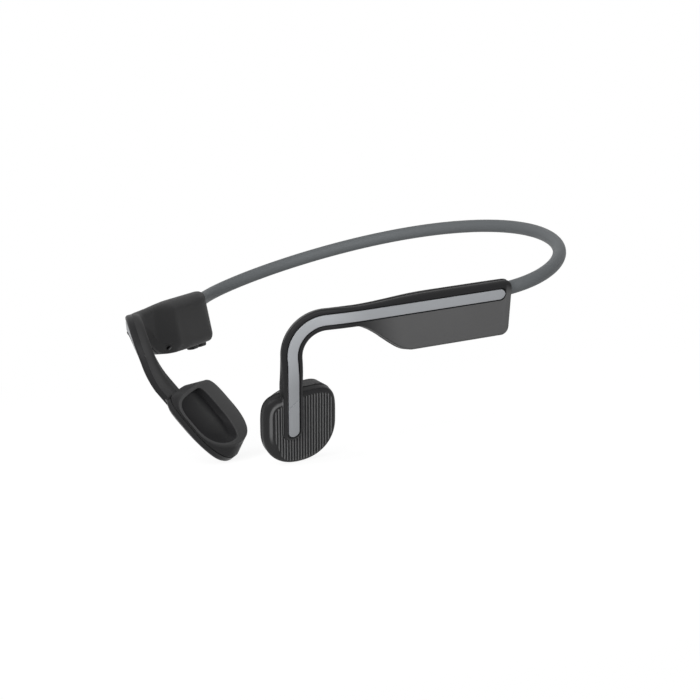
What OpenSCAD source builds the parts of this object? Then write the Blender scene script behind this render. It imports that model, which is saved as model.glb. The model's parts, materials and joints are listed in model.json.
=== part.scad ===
// Bone conduction headphones: two ear hooks with skin pods, joined by a sprung neckband.
// Millimetres. +Z is up, -Y is the way the wearer faces and +X is the wearer's left.
// The origin lies on the mid-plane at the ear line, level with the middle of the strips.

/* [Fit on the head] */
// Half the distance between the outer faces at the housings' back ends
half_width = 62.6; // [58:0.2:67]
// Distance from the ear line back to the housings' back ends
back_reach = 46; // [42:0.5:50]
// Angle at which the housings draw together towards the front
toe_in = 21.2; // [18:0.2:24]

/* [Housing] */
// Room in front of the battery and the board, up to where the underside starts to rise
nose_room = 1.4; // [1.2:0.1:3]
// Straight run from that place to the bend of the hook
nose_l = 14.2; // [13.5:0.1:17]
// Height of the housing above the middle of the strip
housing_top = 4; // [3.7:0.1:4.6]
// Depth of the housing below the middle of the strip
housing_drop = 11.8; // [11.2:0.1:13]
// Thickness of the housing from outer to inner face
housing_t = 8.4; // [8:0.1:9.5]
// Run over which the underside rises to the arm
rise_l = 17.5; // [15:0.1:19]
// Forward lean of the back end, run over height
back_lean = 0.22; // [0.1:0.01:0.26]
// Corner radius of the back end
back_r = 2.3; // [1.4:0.1:2.5]
// Edge radius of the outer face
edge_r = 0.8; // [0.5:0.1:1]
// Corner radius along the inner face
inner_r = 2.2; // [1.6:0.1:2.4]
// Edge radius along the inner shell's top
top_r = 3.3; // [2.4:0.1:3.4]
// Width of the bevel under the inner face, towards the arm
front_bevel = 3; // [2.4:0.1:3.6]
// How much thinner the housing is along its top edge
top_thinner = 1.4; // [1:0.1:1.5]
// How far the inner face falls away at the back end's top
fall_top = 4; // [3:0.1:4.2]
// How far the inner face falls away at the back end's foot
fall_low = 1; // [0.6:0.1:1.4]
// Run of that fall along the top
fall_top_l = 11; // [8:0.5:11.5]
// Run of that fall along the foot
fall_low_l = 4; // [3:0.5:5]

/* [Hook and arm] */
// Length of the bend between housing and hook
bend_l = 11.7; // [9:0.1:14]
// Angle by which that bend turns towards the head
bend_angle = 27; // [22:0.5:32]
// Radius of the hook over the ear
hook_r = 10.7; // [9.5:0.1:12]
// Lean towards the head gained in the hook
hook_lean = 11; // [8:0.5:14]
// Twist gained in the hook
hook_twist = 16; // [12:0.5:20]
// Length of the arm between hook and pod
arm_l = 9; // [7:0.1:12]
// Lean towards the head gained in the arm
arm_lean = 17.5; // [14:0.5:20]
// Twist gained in the arm
arm_twist = 19; // [15:0.5:22]
// Width of the arm
arm_w = 6; // [5.6:0.1:6.6]
// Thickness of the arm
arm_t = 4.6; // [4.4:0.1:5.2]

/* [Strip] */
// Width of the strip on the arm
strip_w = 3.2; // [2.8:0.1:3.6]
// Extra width of the strip on the housing
strip_flare = 0.5; // [0:0.1:0.8]
// Distance of the strip's back end from the housing's back end
strip_start = 2; // [1.8:0.1:3]
// Depth of the strip's groove
groove_d = 0.7; // [0.6:0.05:0.8]
// Slant of the seam above the multifunction key, run over width
seam_slant = 0.7; // [0.4:0.05:0.8]

/* [Pod] */
// Half the width of the pod
pod_a = 11.5; // [11:0.1:12]
// Half the height of the pod
pod_b = 12.9; // [12.4:0.1:14]
// Thickness of the pod at its back, without the rib that carries the strip
pod_t = 8.4; // [8.2:0.1:9]
// Thickness of the pod at its front edge
pod_front = 2.9; // [2.8:0.1:3.4]
// Distance over which the pod grows from its front to its full thickness
wedge_run = 21; // [19:0.5:22]
// Squareness of the pod's outline below its centre, 2 is an ellipse
pod_square = 2.2; // [2.15:0.05:2.6]
// Squareness of the outline above its centre
pod_corner = 4.6; // [3.5:0.1:4.8]
// Rise of the pod's outline towards its front, height over run
pod_skew = 0.12; // [0:0.01:0.14]
// Distance from the arm's lower end to the pod's centre
pod_drop = 17.1; // [16.6:0.1:18.5]
// Distance of the strip in front of the pod's centre
strip_ahead = 2.7; // [2.4:0.1:2.9]
// Height of the strip's rib over the pod's face
rib_h = 1.4; // [1.2:0.1:1.6]
// Distance of the rib's lower end below the pod's centre
rib_end = 1.5; // [0.5:0.1:3]
// Spacing of the fine ribs on the pod cover
flute_step = 0.88; // [0.8:0.02:1.2]
// Width of one fine rib
flute_w = 0.42; // [0.36:0.02:0.5]
// Height of the fine ribs
flute_h = 0.35; // [0.25:0.05:0.5]
// Depth of the dish on the skin side, at the back
dish_d = 2.6; // [2.4:0.1:2.7]
// Half the width of the dish
dish_a = 6; // [5.5:0.1:6]
// Half the height of the dish
dish_b = 8.5; // [7.8:0.1:8.5]
// Distance of the dish in front of the pod's centre
dish_ahead = 3.8; // [3.6:0.1:3.8]
// Distance of the dish above the pod's centre
dish_up = 0.6; // [0.5:0.1:0.7]
// Squareness of the dish's outline above its centre, 2 is an ellipse
dish_square = 3.2; // [2.6:0.1:3.2]
// Squareness of the dish's outline below its centre
dish_round = 2; // [1.9:0.1:2]
// Distance over which the dish's floor goes down from the front
dish_run = 9.5; // [9:0.1:9.5]
// How much the pod's front and back draw in towards the skin
taper_side = 0.4; // [0.2:0.1:0.8]
// How much the pod's top and foot draw in towards the skin
taper_end = 2.2; // [1.8:0.1:2.4]
// Depth of the pod cover from its face to its joint
cover_h = 2.2; // [2.1:0.1:2.4]

/* [Neckband] */
// Outer diameter of the neckband
band_d = 4; // [3.6:0.1:4.4]
// Diameter of the neckband's bore
band_bore = 2.1; // [2:0.05:2.3]
// Height of the neckband's ends above the middle of the strip
band_start_u = 0.9; // [0.6:0.1:1]
// Depth of the neckband's ends behind the outer face
band_start_n = 3.6; // [3.5:0.1:3.9]
// Length of the neckband that is held inside each housing
band_bury = 3.6; // [3.2:0.1:4]
// Outward angle at which the neckband leaves the housings
band_splay = 30; // [26:0.5:33]
// Upward slope at which the neckband leaves the housings
band_slope = 0.1; // [0.05:0.01:0.15]
// Length of the first guide of the neckband's curve
band_side = 26.4; // [22:0.2:30]
// Half width of the neckband's curve at its back
band_back_half = 44.8; // [40:0.2:50]
// Distance of the neckband's back from the ear line
band_back = 112; // [104:0.5:120]
// Height of the neckband's back above the strips
band_rise = 15; // [10:0.5:18]

/* [Walls and clearances] */
// Wall of the shells and pods
wall = 1.2; // [1:0.05:1.3]
// Wall of the outer shell behind its face
face_wall = 1.4; // [1.3:0.05:1.5]
// Depth of the parting line behind the outer face
part_n = 2; // [1.9:0.05:2.1]
// Gap at the housing's parting line, filled by the gasket
part_gap = 0.3; // [0.25:0.05:0.4]
// Clearance between pieces that are glued or clipped together
snug = 0.1; // [0.05:0.01:0.15]
// Clearance around moving keys and the flap
run_clear = 0.15; // [0.12:0.01:0.2]
// Width of the wire channel in the arm
channel_w = 3; // [2.8:0.1:3.2]
// Depth of the hook's wires behind the outer face
wire_n = 3; // [2.9:0.05:3.05]
// Diameter of the spring wires
spring_d = 0.9; // [0.7:0.05:1]
// Diameter of the signal cables
cable_d = 0.8; // [0.6:0.05:0.9]
// Distance of each wire from the middle of its channel
wire_off = 0.5; // [0.48:0.01:0.52]

/* [Left housing] */
// Length of the battery
battery_l = 24.5; // [22:0.5:25]
// Height of the battery
battery_h = 10.5; // [9:0.1:11]
// Thickness of the battery
battery_t = 3.9; // [3:0.1:4.1]
// Thickness of the foam pad under the battery
pad_t = 0.5; // [0.3:0.05:0.7]
// Distance from the back end to the battery
battery_start = 8.6; // [8.4:0.1:9]

/* [Right housing] */
// Length of the main board
board_l = 25.3; // [23:0.1:25.5]
// Height of the main board
board_h = 8.6; // [8:0.1:8.8]
// Thickness of the main board
board_t = 0.6; // [0.5:0.05:0.7]
// Thickness of the board carrier
carrier_t = 0.5; // [0.4:0.05:0.6]
// Distance from the back end to the main board
board_start = 7.6; // [7.5:0.1:8]
// Length of a volume key
key_l = 5.7; // [5:0.1:5.9]
// Width of a volume key
key_w = 2.6; // [2.2:0.1:2.8]
// Height of a volume key below the underside
key_proud = 1.3; // [0.8:0.1:1.6]
// Travel of the keys
key_travel = 0.35; // [0.25:0.05:0.4]
// Distance from the back end to the middle of the volume keys
keys_mid = 9.8; // [9.6:0.1:11]
// Distance between the centres of the volume keys
keys_pitch = 6.8; // [6.7:0.1:7.4]
// Depth of the keys and the socket behind the outer face
port_n = 4.35; // [4.3:0.05:4.4]
// Distance of the socket's middle from the board's front end
port_back = 6.1; // [5.8:0.1:6.4]
// Width of the socket's shell
socket_w = 8.9; // [8.6:0.1:9]
// Height of the socket's shell
socket_t = 3.2; // [3:0.05:3.3]
// Depth of the socket
socket_l = 7; // [6.5:0.1:7.4]
// Diameter of the microphone's port
mic_port_d = 1.5; // [1.2:0.1:1.8]

/* [Transducer] */
// Outer radius of the yoke
yoke_r = 5.2; // [4.9:0.1:5.4]
// Wall of the yoke
yoke_wall = 0.8; // [0.6:0.05:0.85]
// Radius of the magnet
magnet_r = 2.9; // [2.5:0.1:3.1]
// Inner radius of the coil
coil_r = 3.35; // [3.3:0.05:3.4]
// Width of the coil's winding
coil_w = 0.8; // [0.6:0.05:0.9]
// Thickness of the spring plate
plate_t = 0.25; // [0.2:0.05:0.3]
// Height of the yoke's rim over the pod's floor
yoke_lift = 1.2; // [1.1:0.05:1.4]

/* [Hidden] */
$fn = 48;

shell_grey = [0.30, 0.30, 0.31];
shell_black = [0.13, 0.13, 0.14];
strip_grey = [0.62, 0.63, 0.65];
band_grey = [0.38, 0.40, 0.41];
steel = [0.70, 0.71, 0.72];
board_green = [0.10, 0.34, 0.20];

// Shape helpers

function mix(a, b, t) = a + (b - a) * t;
function smooth(a, b, x) = let (t = min(1, max(0, (x - a) / (b - a)))) t * t * (3 - 2 * t);
// Inset of a surface that rounds off with radius r towards an end at distance x
function round_in(r, x) = x >= r ? 0 : r - sqrt(r * r - (r - x) * (r - x));
function unit(v) = v / norm(v);

// Triangles between rings of equal size; looped joins the last ring to the first, else caps close the ends
module skin(rings, looped = false, caps = []) {
    count = len(rings[0]);
    total = len(rings);
    points = [for (ring = rings) each ring];
    sides = [for (i = [0 : total - (looped ? 1 : 2)], k = [0 : count - 1])
        let (j = (i + 1) % total, l = (k + 1) % count)
        each [[i * count + k, i * count + l, j * count + l], [i * count + k, j * count + l, j * count + k]]];
    cap = len(caps) > 0 ? caps : strip_cap(count);
    first = [for (f = cap) [f[2], f[1], f[0]]];
    last = [for (f = cap) [for (i = f) (total - 1) * count + i]];
    polyhedron(points, looped ? sides : concat(sides, first, last), convexity = 8);
}
// A ring's cap: triangles between the two ends of its list
function strip_cap(n) = [for (k = [0 : n / 2 - 2], side = [0, 1])
    side == 0 ? [k, k + 1, n - 1 - k] : [k + 1, n - 2 - k, n - 1 - k]];

// The strip's path: each frame is [point, forward, outward, up, length so far]

function turn(a, b, angle) = [a * cos(angle) - b * sin(angle), b * cos(angle) + a * sin(angle)];
function swing(f, down, inward, twist) = let (
    a = turn(f[1], f[3], down), b = turn(a[0], f[2], inward), c = turn(b[1], a[1], twist))
    [f[0], b[0], c[0], c[1], f[4]];
function advance(f, l, down, inward, twist) = let (
    h = swing(f, down / 2, inward / 2, twist / 2), m = [h[0] + l * h[1], h[1], h[2], h[3], h[4] + l])
    swing(m, down / 2, inward / 2, twist / 2);
// n equal steps along a stretch that bends down, inwards and twists at a steady rate
function run(f, l, down, inward, twist, n) = n == 0 ? [] : let (
    g = advance(f, l / n, down / n, inward / n, twist / n), k = 1 - 1 / n)
    concat([g], run(g, l * k, down * k, inward * k, twist * k, n - 1));

rise_start = max(battery_start + battery_l, board_start + board_l) + nose_room;
rise_end = rise_start + rise_l;
straight_l = rise_start + nose_l;
back_frame = [[half_width, back_reach, 0], [-sin(toe_in), -cos(toe_in), 0],
    [cos(toe_in), -sin(toe_in), 0], [0, 0, 1], 0];
function straight(s) = [back_frame[0] + s * back_frame[1], back_frame[1], back_frame[2], back_frame[3], s];
hook_l = hook_r * PI / 2;
bend_frames = run(straight(straight_l), bend_l, 0, bend_angle, 0, 5);
hook_frames = run(bend_frames[4], hook_l, 90, hook_lean, hook_twist, 8);
arm_frames = run(hook_frames[7], arm_l, 0, arm_lean, arm_twist, 4);
pod_frame = arm_frames[3];
curved_frames = concat(bend_frames, hook_frames, arm_frames);

// Place on a frame: u up across the strip, n outwards; the back end leans
lean_fade_l = 20;
function at(f, u, n, ahead = 0) = f[0] + u * f[3] + n * f[2]
    + (ahead - back_lean * u * (1 - smooth(0, lean_fade_l, f[4]))) * f[1];

// Housing profile along the path

depth_start = rise_start - 2;
depth_end = rise_end - 8;
top_fall_start = rise_start - 8;
function u_top(s) = mix(housing_top, arm_w / 2, smooth(top_fall_start, rise_end, s)) - round_in(back_r, s);
function u_low(s) = -mix(housing_drop, arm_w / 2, smooth(rise_start, rise_end, s)) + round_in(back_r, s);
// Height of u within the housing, 0 at its foot and 1 at its top
function rel(u) = (u + housing_drop) / (housing_drop + housing_top);
function fall(s, u) = let (x = max(0, 1 - s / mix(fall_low_l, fall_top_l, rel(u))))
    mix(fall_low, fall_top, rel(u)) * (1 - sqrt(1 - x * x));
// Place of the inner face
function inner_n(s, u) = fall(s, u)
    - mix(housing_t - top_thinner * rel(u), arm_t, smooth(depth_start, depth_end, s));
function narrow(s) = smooth(rise_start, rise_end - 4, s);
// The hollow leaves a solid boss round the neckband's end
boss_wall = 0.8;
boss_l = band_bury + boss_wall;
boss_drop = band_d / 2 + wall - band_start_u;
function hollow_top(s) = mix(-boss_drop, mix(u_top(s) - wall, channel_w / 2, narrow(s)),
    smooth(boss_l, boss_l + end_draft, s));
function hollow_low(s) = mix(u_low(s) + wall, -channel_w / 2, narrow(s));
function strip_half(s) = strip_w / 2 + strip_flare / 2 * (1 - smooth(rise_start, rise_end, s));
gap_end = rise_end - 8;
function gap_at(s) = mix(part_gap, snug, smooth(gap_end, gap_end + 2, s));
end_draft = 0.6;
sliver = 0.04;
// Inset of an arc's middle, as a share of its radius
arc_mid = 0.3;
tip_half = 0.3;
// Half width of the groove, round at its back end
function groove_half(s) = let (w = strip_half(s), x = s - strip_start)
    x <= 0 ? tip_half : x >= w ? w : max(tip_half, sqrt(w * w - (w - x) * (w - x)));

// Distance down the pod's own frame of its top edge at u
function pod_edge(u) = pod_drop - pod_reach(-u - strip_ahead, 0);
shell_stations = concat([0, 0.12, 0.4, edge_r, wall, wall + end_draft],
    [for (k = [0.02, 0.4, 1, 2]) strip_start + k], [boss_l, boss_l + end_draft, 6.5, 8, 9.5, 12, 22],
    [for (k = [-4, -2, 0, 2, 4, 6, 8, 10, 12]) rise_start + k], [straight_l]);
shell_frames = concat([for (s = shell_stations) straight(s)], curved_frames, [pod_frame]);
last_frame = len(shell_frames) - 1;
function ahead_at(i, u) = i < last_frame ? 0 : pod_edge(u) - snug;

// Section of the outer shell: face with the strip's groove, then the hollow behind it
function outer_section(s) = let (t = u_top(s), b = u_low(s), o = -round_in(edge_r, s),
    e = edge_r, k = arc_mid * edge_r, g = groove_half(s), p = -part_n,
    d = s > strip_start ? -groove_d : o - sliver, h = s < wall + sliver ? p + sliver : -face_wall)
    [[t, p], [t, o - e], [t - k, o - k], [t - e, o], [g, o], [g, d], [-g, d], [-g, o],
    [b + e, o], [b + k, o - k], [b, o - e], [b, p],
    [hollow_low(s), p], [hollow_low(s), h], [hollow_top(s), h], [hollow_top(s), p]];

// Section of the inner shell: rounded top edge, bevelled underside, hollow open to the outer shell
function low_r(s) = mix(inner_r, front_bevel, smooth(rise_start - 4, rise_start + 3, s));
max_round = 0.7;
function inner_section(s) = let (t = u_top(s), b = u_low(s), p = -part_n - gap_at(s),
    nb = inner_n(s, b), nt = inner_n(s, t), rb = min(low_r(s), (p - nb) * max_round),
    rt = min(mix(top_r, inner_r, smooth(depth_start, depth_end, s)), (p - nt) * max_round),
    kb = arc_mid * rb, kt = arc_mid * rt, u1 = mix(b + rb, t - rt, 1 / 3), u2 = mix(b + rb, t - rt, 2 / 3))
    concat([[b, p], [b, nb + rb], [b + kb, nb + kb]],
        [for (u = [b + rb, u1, u2, t - rt]) [u, inner_n(s, u)]],
        [[t - kt, nt + kt], [t, nt + rt], [t, p]], hollow_section(s, p, rt, rb));
// Cut of a hollow's corner that keeps the wall even behind an arc of radius r
function hollow_cut(r) = max(0.3, 2 * arc_mid * r - (2 - sqrt(2)) * wall);
// The hollow's side of that section
function hollow_section(s, p, rt, rb) = let (ht = hollow_top(s), hl = hollow_low(s), most = 0.3 * (ht - hl),
    ct = min(hollow_cut(rt), most), cb = min(hollow_cut(rb), most), closed = s < wall + sliver,
    corners = [[ht, ct], [ht - ct, 0], [mix(hl, ht, 0.6), 0], [mix(hl, ht, 0.4), 0], [hl + cb, 0], [hl, cb]])
    concat([[ht, p]],
        [for (q = corners) [q[0], closed ? p - sliver : min(p - sliver, inner_n(s, q[0]) + wall + q[1])]],
        [[hl, p]]);

// Cap of the outer section: fans from the groove's two bottom corners and the web between them
outer_caps = concat([for (k = [7 : 12]) [6, k, k + 1]], [for (k = [14, 15, 0, 1, 2, 3]) [5, k, (k + 1) % 16]],
    [[5, 6, 13], [5, 13, 14]]);
function place_section(i, section) = [for (q = section) at(shell_frames[i], q[0], q[1], ahead_at(i, q[0]))];
outer_rings = [for (i = [0 : last_frame]) place_section(i, outer_section(shell_frames[i][4]))];
inner_rings = [for (i = [0 : last_frame]) place_section(i, inner_section(shell_frames[i][4]))];

// Frames for pieces that lie in a housing or a pod

module on_axes(x, y, z, origin) {
    multmatrix([[x[0], y[0], z[0], origin[0]], [x[1], y[1], z[1], origin[1]], [x[2], y[2], z[2], origin[2]]])
        children();
}
// Housing frame: x towards the back, y up, z outwards, s along the strip
module in_housing(s, u, n) {
    f = straight(s);
    on_axes(-f[1], f[3], f[2], f[0] + u * f[3] + n * f[2]) children();
}
// Pod frame: x towards the back, y up, z outwards, origin in the middle of the pod's outer face
pod_origin = pod_frame[0] + pod_drop * pod_frame[1] - strip_ahead * pod_frame[3] - rib_h * pod_frame[2];
module in_pod() {
    on_axes(-pod_frame[3], -pod_frame[1], pod_frame[2], pod_origin) children();
}
module sided(side) {
    if (side == "right") mirror([1, 0, 0]) children();
    else children();
}
module block(size, at_low = [0, 0, 0]) {
    translate([-size[0] / 2, -size[1] / 2, 0] + at_low) cube(size);
}

// Neckband

band_start = back_frame[0] + band_start_u * back_frame[3] - band_start_n * back_frame[2];
band_dir = unit([sin(band_splay), cos(band_splay), band_slope]);
band_guides = [band_start, band_start + band_side * band_dir, [band_back_half, band_back, band_rise],
    [0, band_back, band_rise]];
function bezier(q, t) = let (r = 1 - t)
    r * r * r * q[0] + 3 * r * r * t * q[1] + 3 * r * t * t * q[2] + t * t * t * q[3];
function bezier_dir(q, t) = let (r = 1 - t)
    unit(r * r * (q[1] - q[0]) + 2 * r * t * (q[2] - q[1]) + t * t * (q[3] - q[2]));
band_steps = 18;
mirror_x = [[-1, 0, 0], [0, 1, 0], [0, 0, 1]];
// Left half from the housing to the middle, then the right half as its mirror image: [point, direction]
band_left = [for (i = [0 : band_steps]) let (t = i / band_steps)
    [bezier(band_guides, t), bezier_dir(band_guides, t)]];
band_route = concat(band_left, [for (i = [band_steps - 1 : -1 : 0]) let (p = band_left[i])
    [mirror_x * p[0], -mirror_x * p[1]]]);
// Both ends run on straight into the housings
function with_ends(l) = let (p = band_start - l * band_dir)
    concat([[p, band_dir]], band_route, [[mirror_x * p, -mirror_x * band_dir]]);
anchor_in = boss_l + end_draft + 0.3;
anchor_l = 1.8;
anchor_wall = 0.35;
// Ring round a point of a route, rise lifts its centre
function ring(p, r, sides, rise = 0) = let (b = unit(cross(p[1], [0, 0, 1])), c = cross(b, p[1]))
    [for (k = [0 : sides - 1]) p[0] + rise * c + r * (cos(360 * k / sides) * b + sin(360 * k / sides) * c)];
function band_rings(r, sides) = [for (p = with_ends(band_bury - snug)) ring(p, r, sides)];
function backwards(list) = [for (i = [len(list) - 1 : -1 : 0]) list[i]];

module neckband_sleeve() {
    sides = 12;
    rings = concat(band_rings(band_d / 2, sides), backwards(band_rings(band_bore / 2, sides)));
    color(band_grey) skin(rings, true);
}
module neckband_wire(d, rise) {
    skin([for (p = with_ends(anchor_in + anchor_l)) ring(p, d / 2, 6, rise)]);
}
module neckband_spring() { color(steel) neckband_wire(spring_d, wire_off); }
module neckband_cable() { color(shell_black) neckband_wire(cable_d, -wire_off); }

// Shells

light_d = 1.2;
// Flange that holds a volume key in the housing, and the room it needs above the underside's wall
flange = 0.4;
flange_t = 0.5;
flange_room = flange_t + key_travel + 2 * snug;
// Along the neckband's end, z into the housing, depth counted from the housing's back end
module along_band_end(inwards) {
    z = -band_dir;
    x = unit(cross([0, 0, 1], z));
    on_axes(x, cross(z, x), z, band_start - inwards * band_dir) children();
}
module band_hole() {
    along_band_end(-8) cylinder(d = band_d + snug, h = 8 + band_bury);
    along_band_end(0) cylinder(d = band_bore + snug, h = boss_l + 2);
}
module outer_shell(side) {
    sided(side) color(shell_grey) difference() {
        skin(outer_rings, caps = outer_caps);
        band_hole();
    }
}
// Slot with round ends, long in x
module slot_outline(l, w) {
    square([l - w, w], center = true);
    for (x = [-1, 1]) translate([x * (l - w) / 2, 0]) circle(d = w);
}
module slot(l, w, h) {
    linear_extrude(h) slot_outline(l, w);
}
// Turns a piece so that its z points down out of the housing's underside
module from_underside(s, n, above = 0) {
    $fn = 32;
    in_housing(s, -housing_drop + above, n) rotate([90, 0, 0]) children();
}
port_s = board_start + board_l - port_back;
cover_l = socket_w + 1.2;
cover_w = socket_t + 0.2;
light_s = (keys_mid + keys_pitch / 2 + key_l / 2 + port_s - cover_l / 2) / 2;
// Microphone in the bevel under the inner face: z points in through the wall
mic_s = rise_start + 1.5;
module at_mic(depth) {
    low = u_low(mic_s);
    bevel = 0.35 * low_r(mic_s);
    in_housing(mic_s, low + bevel, inner_n(mic_s, low) + bevel) rotate([-45, 0, 0])
        translate([0, 0, depth]) children();
}
module inner_shell(side) {
    sided(side) color(shell_black) difference() {
        skin(inner_rings);
        band_hole();
        if (side == "right") {
            for (x = [-1, 1]) from_underside(keys_mid + x * keys_pitch / 2, -port_n, wall + flange_room) {
                slot(key_l + 2 * run_clear, key_w + 2 * run_clear, wall + 2);
                slot(key_l + 2 * (flange + run_clear), key_w + 2 * (flange + run_clear), flange_room);
            }
            from_underside(port_s, -port_n, wall + 1)
                slot(cover_l + 2 * run_clear, cover_w + 2 * run_clear, wall + 2);
            from_underside(light_s, -port_n, wall + 1) cylinder(d = light_d + 2 * snug, h = wall + 2);
            at_mic(-1) cylinder(d = mic_port_d, h = wall + 2.5);
        }
    }
}
// Gasket that fills the parting line round the housing, open where the neckband enters
gasket_in = 0.3;
gasket_stations = [for (s = [wall, 3, 6, 12, 24, rise_start, rise_start + 3, rise_start + 6, gap_end]) s];
function gasket_point(s, u) = [-(s - back_lean * u * (1 - smooth(0, lean_fade_l, s))), u];
gasket_bridge = 1.2;
module housing_gasket(side) {
    outer_line = concat([for (s = backwards(gasket_stations)) gasket_point(s, u_top(s) - gasket_in)],
        [gasket_point(gasket_in, u_top(back_r) - back_r), gasket_point(gasket_in, u_low(back_r) + back_r)],
        [for (s = gasket_stations) gasket_point(s, u_low(s) + gasket_in)]);
    inner_stations = [for (s = gasket_stations) min(max(s, wall + gasket_in), gap_end - gasket_bridge)];
    inner_line = concat([for (s = backwards(inner_stations)) gasket_point(s, u_low(s) + wall)],
        [for (s = inner_stations) gasket_point(s, u_top(s) - wall)]);
    sided(side) color(shell_black) difference() {
        in_housing(0, 0, -part_n - part_gap + snug / 4) linear_extrude(part_gap - snug / 2) difference() {
            polygon(outer_line);
            polygon(inner_line);
        }
        band_hole();
    }
}

// Strip and multifunction key

seam_at = pod_drop - pod_b + 1.7;
strip_end = pod_drop + rib_end;
strip_tip_steps = [0, 0.25, 0.5, 0.75, 0.95];
strip_stations = concat([for (k = [0.02, 0.4, 1, 2]) strip_start + k + snug], [10, 22],
    [for (k = [0 : 2 : 14]) rise_start + k - 1], [straight_l]);
function strip_ring(f, half, ahead = 0, slant = 0) = let (foot = snug / 2 - groove_d)
    [for (q = [[half, 0], [-half, 0], [-half, foot], [half, foot]]) at(f, q[0], q[1], ahead + slant * q[0])];
strip_body = [for (f = concat([for (s = strip_stations) straight(s)], curved_frames))
    strip_ring(f, min(groove_half(f[4]), groove_half(f[4] - snug)) - snug)];
half_end = strip_w / 2 - snug;
strip_tip = [for (k = strip_tip_steps)
    strip_ring(pod_frame, half_end * sqrt(1 - k * k), strip_end - half_end + k * half_end)];
module strip(side) {
    sided(side) color(strip_grey) skin(concat(strip_body,
        side == "left" ? [strip_ring(pod_frame, half_end, seam_at, seam_slant)] : strip_tip));
}
// Outline of the strip's lower end in the pod frame, grown by g
module strip_slot(g, top_y) {
    half = strip_w / 2 + g;
    end_y = -rib_end + strip_w / 2;
    translate([-strip_ahead - half, end_y]) square([2 * half, top_y - end_y]);
    translate([-strip_ahead, end_y]) circle(half);
}
stem_y = pod_b - 4.5;
stem_d = 1.6;
plate_z = -1;
stem_z = plate_z - 0.25;
module multifunction_key() {
    key_top = pod_drop - seam_at - run_clear;
    color(strip_grey) in_pod() {
        translate([0, 0, rib_h - groove_d]) linear_extrude(groove_d - 0.01) intersection() {
            strip_slot(-run_clear, pod_b);
            polygon([for (q = [[-2, -30], [2, -30], [2, 0], [-2, 0]])
                [-strip_ahead + q[0] * strip_w, q[1] < 0 ? q[1] : key_top + seam_slant * q[0] * strip_w]]);
        }
        translate([-strip_ahead, stem_y, stem_z]) cylinder(d = stem_d, h = rib_h - groove_d - stem_z + snug);
    }
}
switch_z = stem_z - key_travel - snug / 2;
module multifunction_switch() {
    color(steel) in_pod() translate([-strip_ahead, stem_y, switch_z - 1]) {
        cylinder(d = 1.4, h = 1);
        block([3, 2.6, 0.8]);
    }
}
board_z = switch_z - 1 - 0.35;
module multifunction_board() {
    half = 1.9;
    low = stem_y - 1.6;
    edge_y = pod_reach(half - strip_ahead, wall) - 7 * snug;
    color(board_green) in_pod() translate([-strip_ahead - half, low, board_z])
        cube([2 * half, edge_y - low, 0.3]);
}

// Pods

// Outline of the pod, drawn in by side at front and back and by end at top and foot
function pod_outline(side, end = -1, points = 48) = [for (k = [0 : points - 1])
    let (c = cos(360 * k / points), s = sin(360 * k / points),
        e = 2 / (s > 0 ? pod_corner : pod_square), x = (pod_a - side) * sign(c) * pow(abs(c), e))
    [x, (pod_b - (end < 0 ? side : end)) * sign(s) * pow(abs(s), e) - pod_skew * x]];
// Height of the pod's outline at x, above its centre and below it
function pod_reach(x, inset) = outline_height(x, inset, pod_corner) - pod_skew * x;
function pod_foot(x, inset) = outline_height(x, inset, pod_square) + pod_skew * x;
function outline_height(x, inset, square) = let (share = pow(abs(x) / (pod_a - inset), square))
    (pod_b - inset) * pow(max(0, 1 - share), 1 / square);
cover_edge = [0.7, 0.25];
rib_half = arm_w / 2;
module pod_cover(side) {
    step = -plate_z / 2;
    flute_edge = 1.3;
    flutes = floor((pod_a - flute_edge - flute_w / 2) / flute_step);
    rib_low = -rib_end + strip_w / 2 - rib_half - 0.4;
    sided(side) color(shell_grey) in_pod() difference() {
        union() {
            for (i = [0, 1]) translate([0, 0, -step * (i + 1)]) linear_extrude(step)
                polygon(pod_outline(cover_edge[i]));
            translate([0, 0, -cover_h]) linear_extrude(cover_h - 2 * step) polygon(pod_outline(0));
            // Rib that carries the strip on from the arm
            translate([0, 0, -2 * step]) linear_extrude(2 * step + rib_h) intersection() {
                polygon(pod_outline(0));
                strip_slot(rib_half - strip_w / 2, pod_b + 1);
            }
            for (k = [-flutes : flutes]) {
                x = k * flute_step;
                foot = pod_foot(x, flute_edge);
                blocked = abs(x + strip_ahead) < rib_half + flute_w / 2 + snug;
                l = foot + (blocked ? rib_low : pod_reach(x, flute_edge));
                if (l > 1) translate([x - flute_w / 2, -foot, -snug]) cube([flute_w, l, flute_h + snug]);
            }
        }
        translate([0, 0, side == "left" ? 0 : rib_h - groove_d]) linear_extrude(rib_h + 1)
            strip_slot(0, pod_b + 1);
        translate([0, 0, -cover_h - 1]) linear_extrude(cover_h + 1 + plate_z) polygon(pod_outline(wall));
        for (x = [-1, 1]) translate([-strip_ahead - x * wire_gap, pod_b + 1, rib_h - wire_n])
            rotate([90, 0, 0]) cylinder(d = spring_d + 2 * snug, h = 4);
        if (side == "left") translate([-strip_ahead, stem_y, plate_z - 1])
            cylinder(d = stem_d + 2 * run_clear, h = rib_h + 2);
    }
}
seal_t = 0.3;
module pod_gasket(side) {
    sided(side) color(shell_black) in_pod() translate([0, 0, body_z]) linear_extrude(seal_t) difference() {
        polygon(pod_outline(gasket_in));
        polygon(pod_outline(wall));
    }
}
floor_t = 1;
floor_z = -pod_t + dish_d + floor_t;
body_z = -cover_h - seal_t;
// Height of the skin side's rim and of the dish's floor; both go down from the pod's thin front
function rim_at(x) = -pod_t + (pod_t - pod_front) * pow(max(0, 1 - (x + pod_a) / wedge_run), 2);
dish_lip = 0.6;
function dish_at(x) = -pod_t + dish_d
    + (pod_t - dish_d - pod_front + dish_lip) * pow(max(0, 1 - (x + pod_a) / dish_run), 2);
function inside_at(x) = max(floor_z, dish_at(x) + floor_t);
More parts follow.
